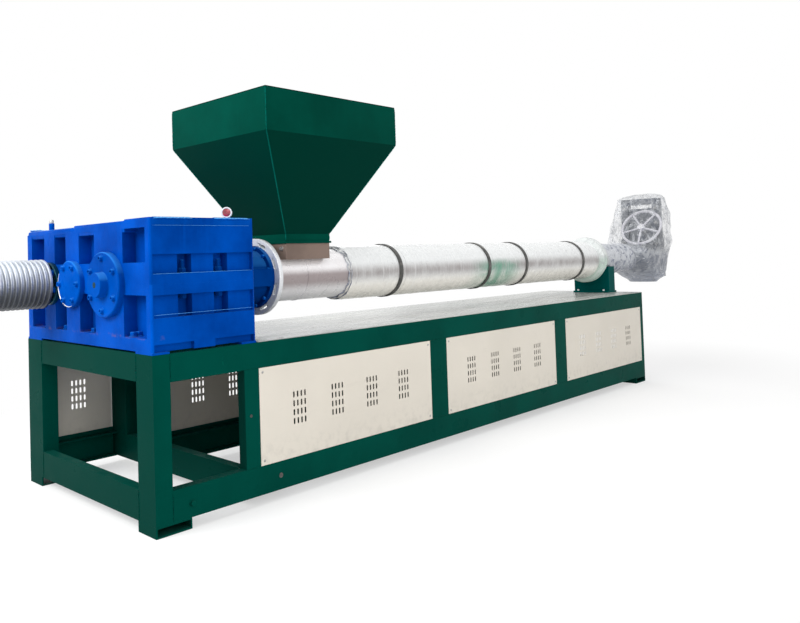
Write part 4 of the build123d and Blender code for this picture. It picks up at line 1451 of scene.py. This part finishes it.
    def fold_start(self) -> None:
        """Lay two ropes of folded film along the gathered start, in the dark film finish: painted shade in
        its creases.
        """
        end = self.cover_start + 0.003
        piece = Piece("film_start_fold")
        for share, out, size in ((0.0, 0.0025, 0.0042), (0.55, 0.0150, 0.0026)):
            path = []
            for n in range(161):
                angle = 2 * math.pi * n / 160
                spot = Vector((math.cos(angle) * 5, math.sin(angle) * 5, 3.0))
                reach = self.jacket_radius + out + 0.0015 * noise.noise(spot)
                edge = self.gather_edge(angle)
                path.append(self.round_screw(edge + share * (end - edge), reach, angle))
            piece.tube(path, lambda t, r=size: r * (1 + 0.4 * math.sin(t * 90)))
        piece.done(Finishes.film_adaptor, slot=Slot.WRAP, smooth=80)

    def wind_flange(self) -> None:
        """Wind film over the pair of end flanges, which it bridges."""
        low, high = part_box("end_flange")

        def outline(x: float) -> float:
            """Return the film's radius over the two discs."""
            share = (x - low.x) / (high.x - low.x)
            crown = 0.204 - 0.008 * math.exp(-((share - 0.5) / 0.09) ** 2)
            edge = max(0.0, min(1.0, (share + 0.1) / 0.42, (1.4 - share) / 0.5))
            return 0.152 + (crown - 0.152) * math.sin(edge * math.pi / 2)

        def drape(x: float) -> float:
            """Return the radius of the film that hangs from the discs to the adaptor."""
            share = (x - high.x) / 0.17
            return 0.139 + 0.052 * (1 - min(1.0, max(0.0, share))) ** 1.7

        self.wound("film_flange", outline, low.x - 0.006, high.x + 0.03, Finishes.film_flange, 0.0045,
                   ["end_flange"])
        self.wound("film_drape", drape, high.x + 0.004, high.x + 0.175, Finishes.film_flange, 0.009)

    def wind_adaptor(self) -> None:
        """Wind film over the adaptor up to the changer."""
        low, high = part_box("adaptor")

        def outline(x: float) -> float:
            """Return the film's radius over the adaptor and its neck."""
            neck = high.x - 0.400
            share = min(1.0, max(0.0, (x - (neck - 0.060)) / 0.060))
            return 0.1385 - 0.022 * share

        self.wound("film_adaptor", outline, low.x, high.x, Finishes.film_adaptor, 0.0075, ["adaptor"])

    def bolt_saddle(self) -> None:
        """Bolt the saddle's foot to the deck."""
        low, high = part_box("barrel_saddle")
        piece = Piece("saddle_bolts")
        for x in (low.x + 0.014, high.x - 0.014):
            for y in (low.y + 0.045, high.y - 0.045):
                piece.bolt((x, y, low.z + 0.016), (0, 0, 1), 0.019, 0.012)
        piece.done(Finishes.screw, slot=Slot.STEEL)

    def bolt_ring(self) -> None:
        """Put bolts between the slots of the coupling ring."""
        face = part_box("coupling_ring")[1].x - 0.0005
        piece = Piece("ring_bolts")
        for n in range(8):
            piece.bolt(self.round_screw(face, 0.178, math.radians(45 * n)), (1, 0, 0), 0.024, 0.016)
        piece.done(Finishes.ring, slot=Slot.STEEL)


@dataclass
class FeedHopper:
    """The hopper on its throat, with folded rim, corner seams and flange bolts."""

    def build(self) -> None:
        """Dress the hopper and the throat and add their seams and bolts."""
        dress(["hopper"], Finishes.hopper, 0.0015)
        dress(["feed_throat"], Finishes.throat, 0.003)
        self.fold_rim()
        self.run_seams()
        self.bolt_flange()

    def fold_rim(self) -> None:
        """Turn a narrow flat edge inwards round the hopper's mouth."""
        low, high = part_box("hopper")
        piece = Piece("hopper_rim_edge")
        edge, drop = 0.016, 0.006
        top = high.z
        spans = (((low.x, low.y), (high.x, low.y + edge)), ((low.x, high.y - edge), (high.x, high.y)),
                 ((low.x, low.y + edge), (low.x + edge, high.y - edge)),
                 ((high.x - edge, low.y + edge), (high.x, high.y - edge)))
        for (x0, y0), (x1, y1) in spans:
            piece.block((x0, y0, top - drop), (x1, y1, top + 0.0008), 0.002)
        piece.done(Finishes.hopper, slot=Slot.HOPPER)

    def run_seams(self) -> None:
        """Run a weld down each corner of the hopper."""
        low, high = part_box("hopper")
        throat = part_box("feed_throat")
        rim, taper = high.z - 0.222, throat[1].z + 0.052
        piece = Piece("hopper_seams")
        for x_top, x_low in ((low.x, throat[0].x), (high.x, throat[1].x)):
            for y_top, y_low in ((low.y, throat[0].y), (high.y, throat[1].y)):
                piece.weld((x_top, y_top, high.z - 0.01), (x_top, y_top, rim), 0.0025)
                piece.weld((x_top, y_top, rim), (x_low, y_low, taper), 0.003)
                piece.weld((x_low, y_low, taper), (x_low, y_low, taper - 0.036), 0.003)
        piece.done(Finishes.seam, slot=Slot.HOPPER, smooth=80)

    def bolt_flange(self) -> None:
        """Bolt the throat to the barrel's seat at its corners."""
        low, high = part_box("feed_throat")
        piece = Piece("throat_bolts")
        for x in (low.x, high.x):
            way = -1 if x == low.x else 1
            for y in (low.y + 0.035, high.y - 0.035):
                piece.bolt((x, y, high.z - 0.028), (way, 0, 0), 0.018, 0.011)
        piece.done(Finishes.screw, slot=Slot.STEEL)


@dataclass
class ScreenChanger:
    """The screen changer with its handwheel under a hood of loose film.

    Fields:
        levels: Rings of points up the hood.
        sides: Points round it.
    """

    levels: int = 76
    sides: int = 120

    def build(self) -> None:
        """Dress the changer and its wheel and hang the film over them."""
        steel = ["changer_block", "changer_frame", "slide_plate", "wheel_box", "die_head"]
        dress(steel, Finishes.changer, 0.003)
        dress(["handwheel"], Finishes.wheel)
        dress(["wheel_shaft"], Finishes.steel, 0.001)
        self.bolt_parts()
        self.hang_hood()

    def bolt_parts(self) -> None:
        """Put bolts on the changer's faces, the guides and the die."""
        piece = Piece("changer_bolts")
        low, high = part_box("changer_block")
        for y in (low.y + 0.030, high.y - 0.030):
            for z in (low.z + 0.045, (low.z + high.z) / 2, high.z - 0.045):
                piece.bolt((low.x, y, z), (-1, 0, 0), 0.034, 0.022)
                piece.bolt((high.x, y, z), (1, 0, 0), 0.034, 0.022)
        guide_low, guide_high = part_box("changer_frame")
        for y in (guide_low.y + 0.035, guide_high.y - 0.035):
            for z in (guide_high.z - 0.10, guide_high.z - 0.25):
                piece.bolt((guide_low.x, y, z), (-1, 0, 0), 0.026, 0.016)
        piece.done(Finishes.screw, slot=Slot.CHANGER)

    def hood_ring(self, z: float) -> tuple[float, float, float, float, float]:
        """Return the hood's range in X and Y and its squareness at a height.

        Args:
            z: The height.

        Returns:
            Lowest X, highest X, lowest Y, highest Y, and the ring's exponent.
        """
        table = ((0.850, 3.00, 3.17, -0.38, -0.12, 2.2), (0.880, 2.95, 3.18, -0.41, -0.10, 2.4),
                 (0.905, 2.90, 3.195, -0.45, -0.07, 3.0), (0.960, 2.80, 3.20, -0.47, -0.045, 3.4),
                 (1.060, 2.66, 3.20, -0.50, -0.040, 3.4), (1.150, 2.60, 3.20, -0.520, -0.040, 3.6),
                 (1.250, 2.62, 3.20, -0.560, -0.040, 3.4), (1.400, 2.70, 3.20, -0.578, -0.040, 3.2),
                 (1.520, 2.825, 3.20, -0.548, -0.035, 3.0), (1.620, 2.915, 3.20, -0.505, -0.035, 2.9),
                 (1.700, 2.955, 3.195, -0.485, -0.035, 2.8), (1.730, 2.99, 3.18, -0.45, -0.10, 2.4),
                 (1.748, 3.04, 3.15, -0.38, -0.20, 2.2))
        for a, b in zip(table, table[1:]):
            if z <= b[0]:
                share = (z - a[0]) / (b[0] - a[0])
                return tuple(p + (q - p) * share for p, q in zip(a[1:], b[1:]))
        return table[-1][1:]

    def hang_hood(self) -> None:
        """Hang the film hood over the changer and the wheel."""
        piece = Piece("film_hood")
        rings = []
        bottom, top = 0.850, 1.748
        for level in range(self.levels + 1):
            share = level / self.levels
            z = bottom + (top - bottom) * (1 - (1 - share) ** 1.15)
            x0, x1, y0, y1, power = self.hood_ring(z)
            ring = []
            for n in range(self.sides):
                angle = 2 * math.pi * n / self.sides
                c, s = math.cos(angle), math.sin(angle)
                bend = power
                if c > 0 > s:
                    bend += (2.0 - power) * min(1.0, max(0.0, (z - 1.25) / 0.12))
                reach = (abs(c) ** bend + abs(s) ** bend) ** (-1 / bend)
                x = (x0 + x1) / 2 + (x1 - x0) / 2 * reach * c
                y = (y0 + y1) / 2 + (y1 - y0) / 2 * reach * s
                spot = Vector((x * 5, y * 5, z * 2.2))
                fold = noise.fractal(spot, 1.0, 2.0, 5) * 0.022 + abs(noise.noise(spot * 2.6)) * 0.012
                fold += 0.004 * math.sin(angle * 19 + 9 * noise.noise(spot))
                if x0 + 0.05 < x < 2.96 and z > 1.2:
                    fold = abs(fold) * 0.6
                outward = Vector((c, s, 0))
                ring.append(piece.mesh.verts.new(Vector((x, y, z)) + outward * fold * min(1, share * 8)))
            rings.append(ring)
        piece.bridge(rings)
        piece.mesh.faces.new(rings[-1])
        piece.done(Finishes.film_hood, slot=Slot.WRAP, smooth=75)


def main() -> None:
    """Build the studio and every sub-assembly in order, and report each."""
    logging.basicConfig(level=logging.INFO, format="%(name)s: %(message)s")
    for part in (Studio(), Bed(), Gearbox(), BeltDrive(), Barrel(), FeedHopper(), ScreenChanger()):
        part.build()
        LOG.info("%s is in place", type(part).__name__)


if __name__ == "__main__":
    main()
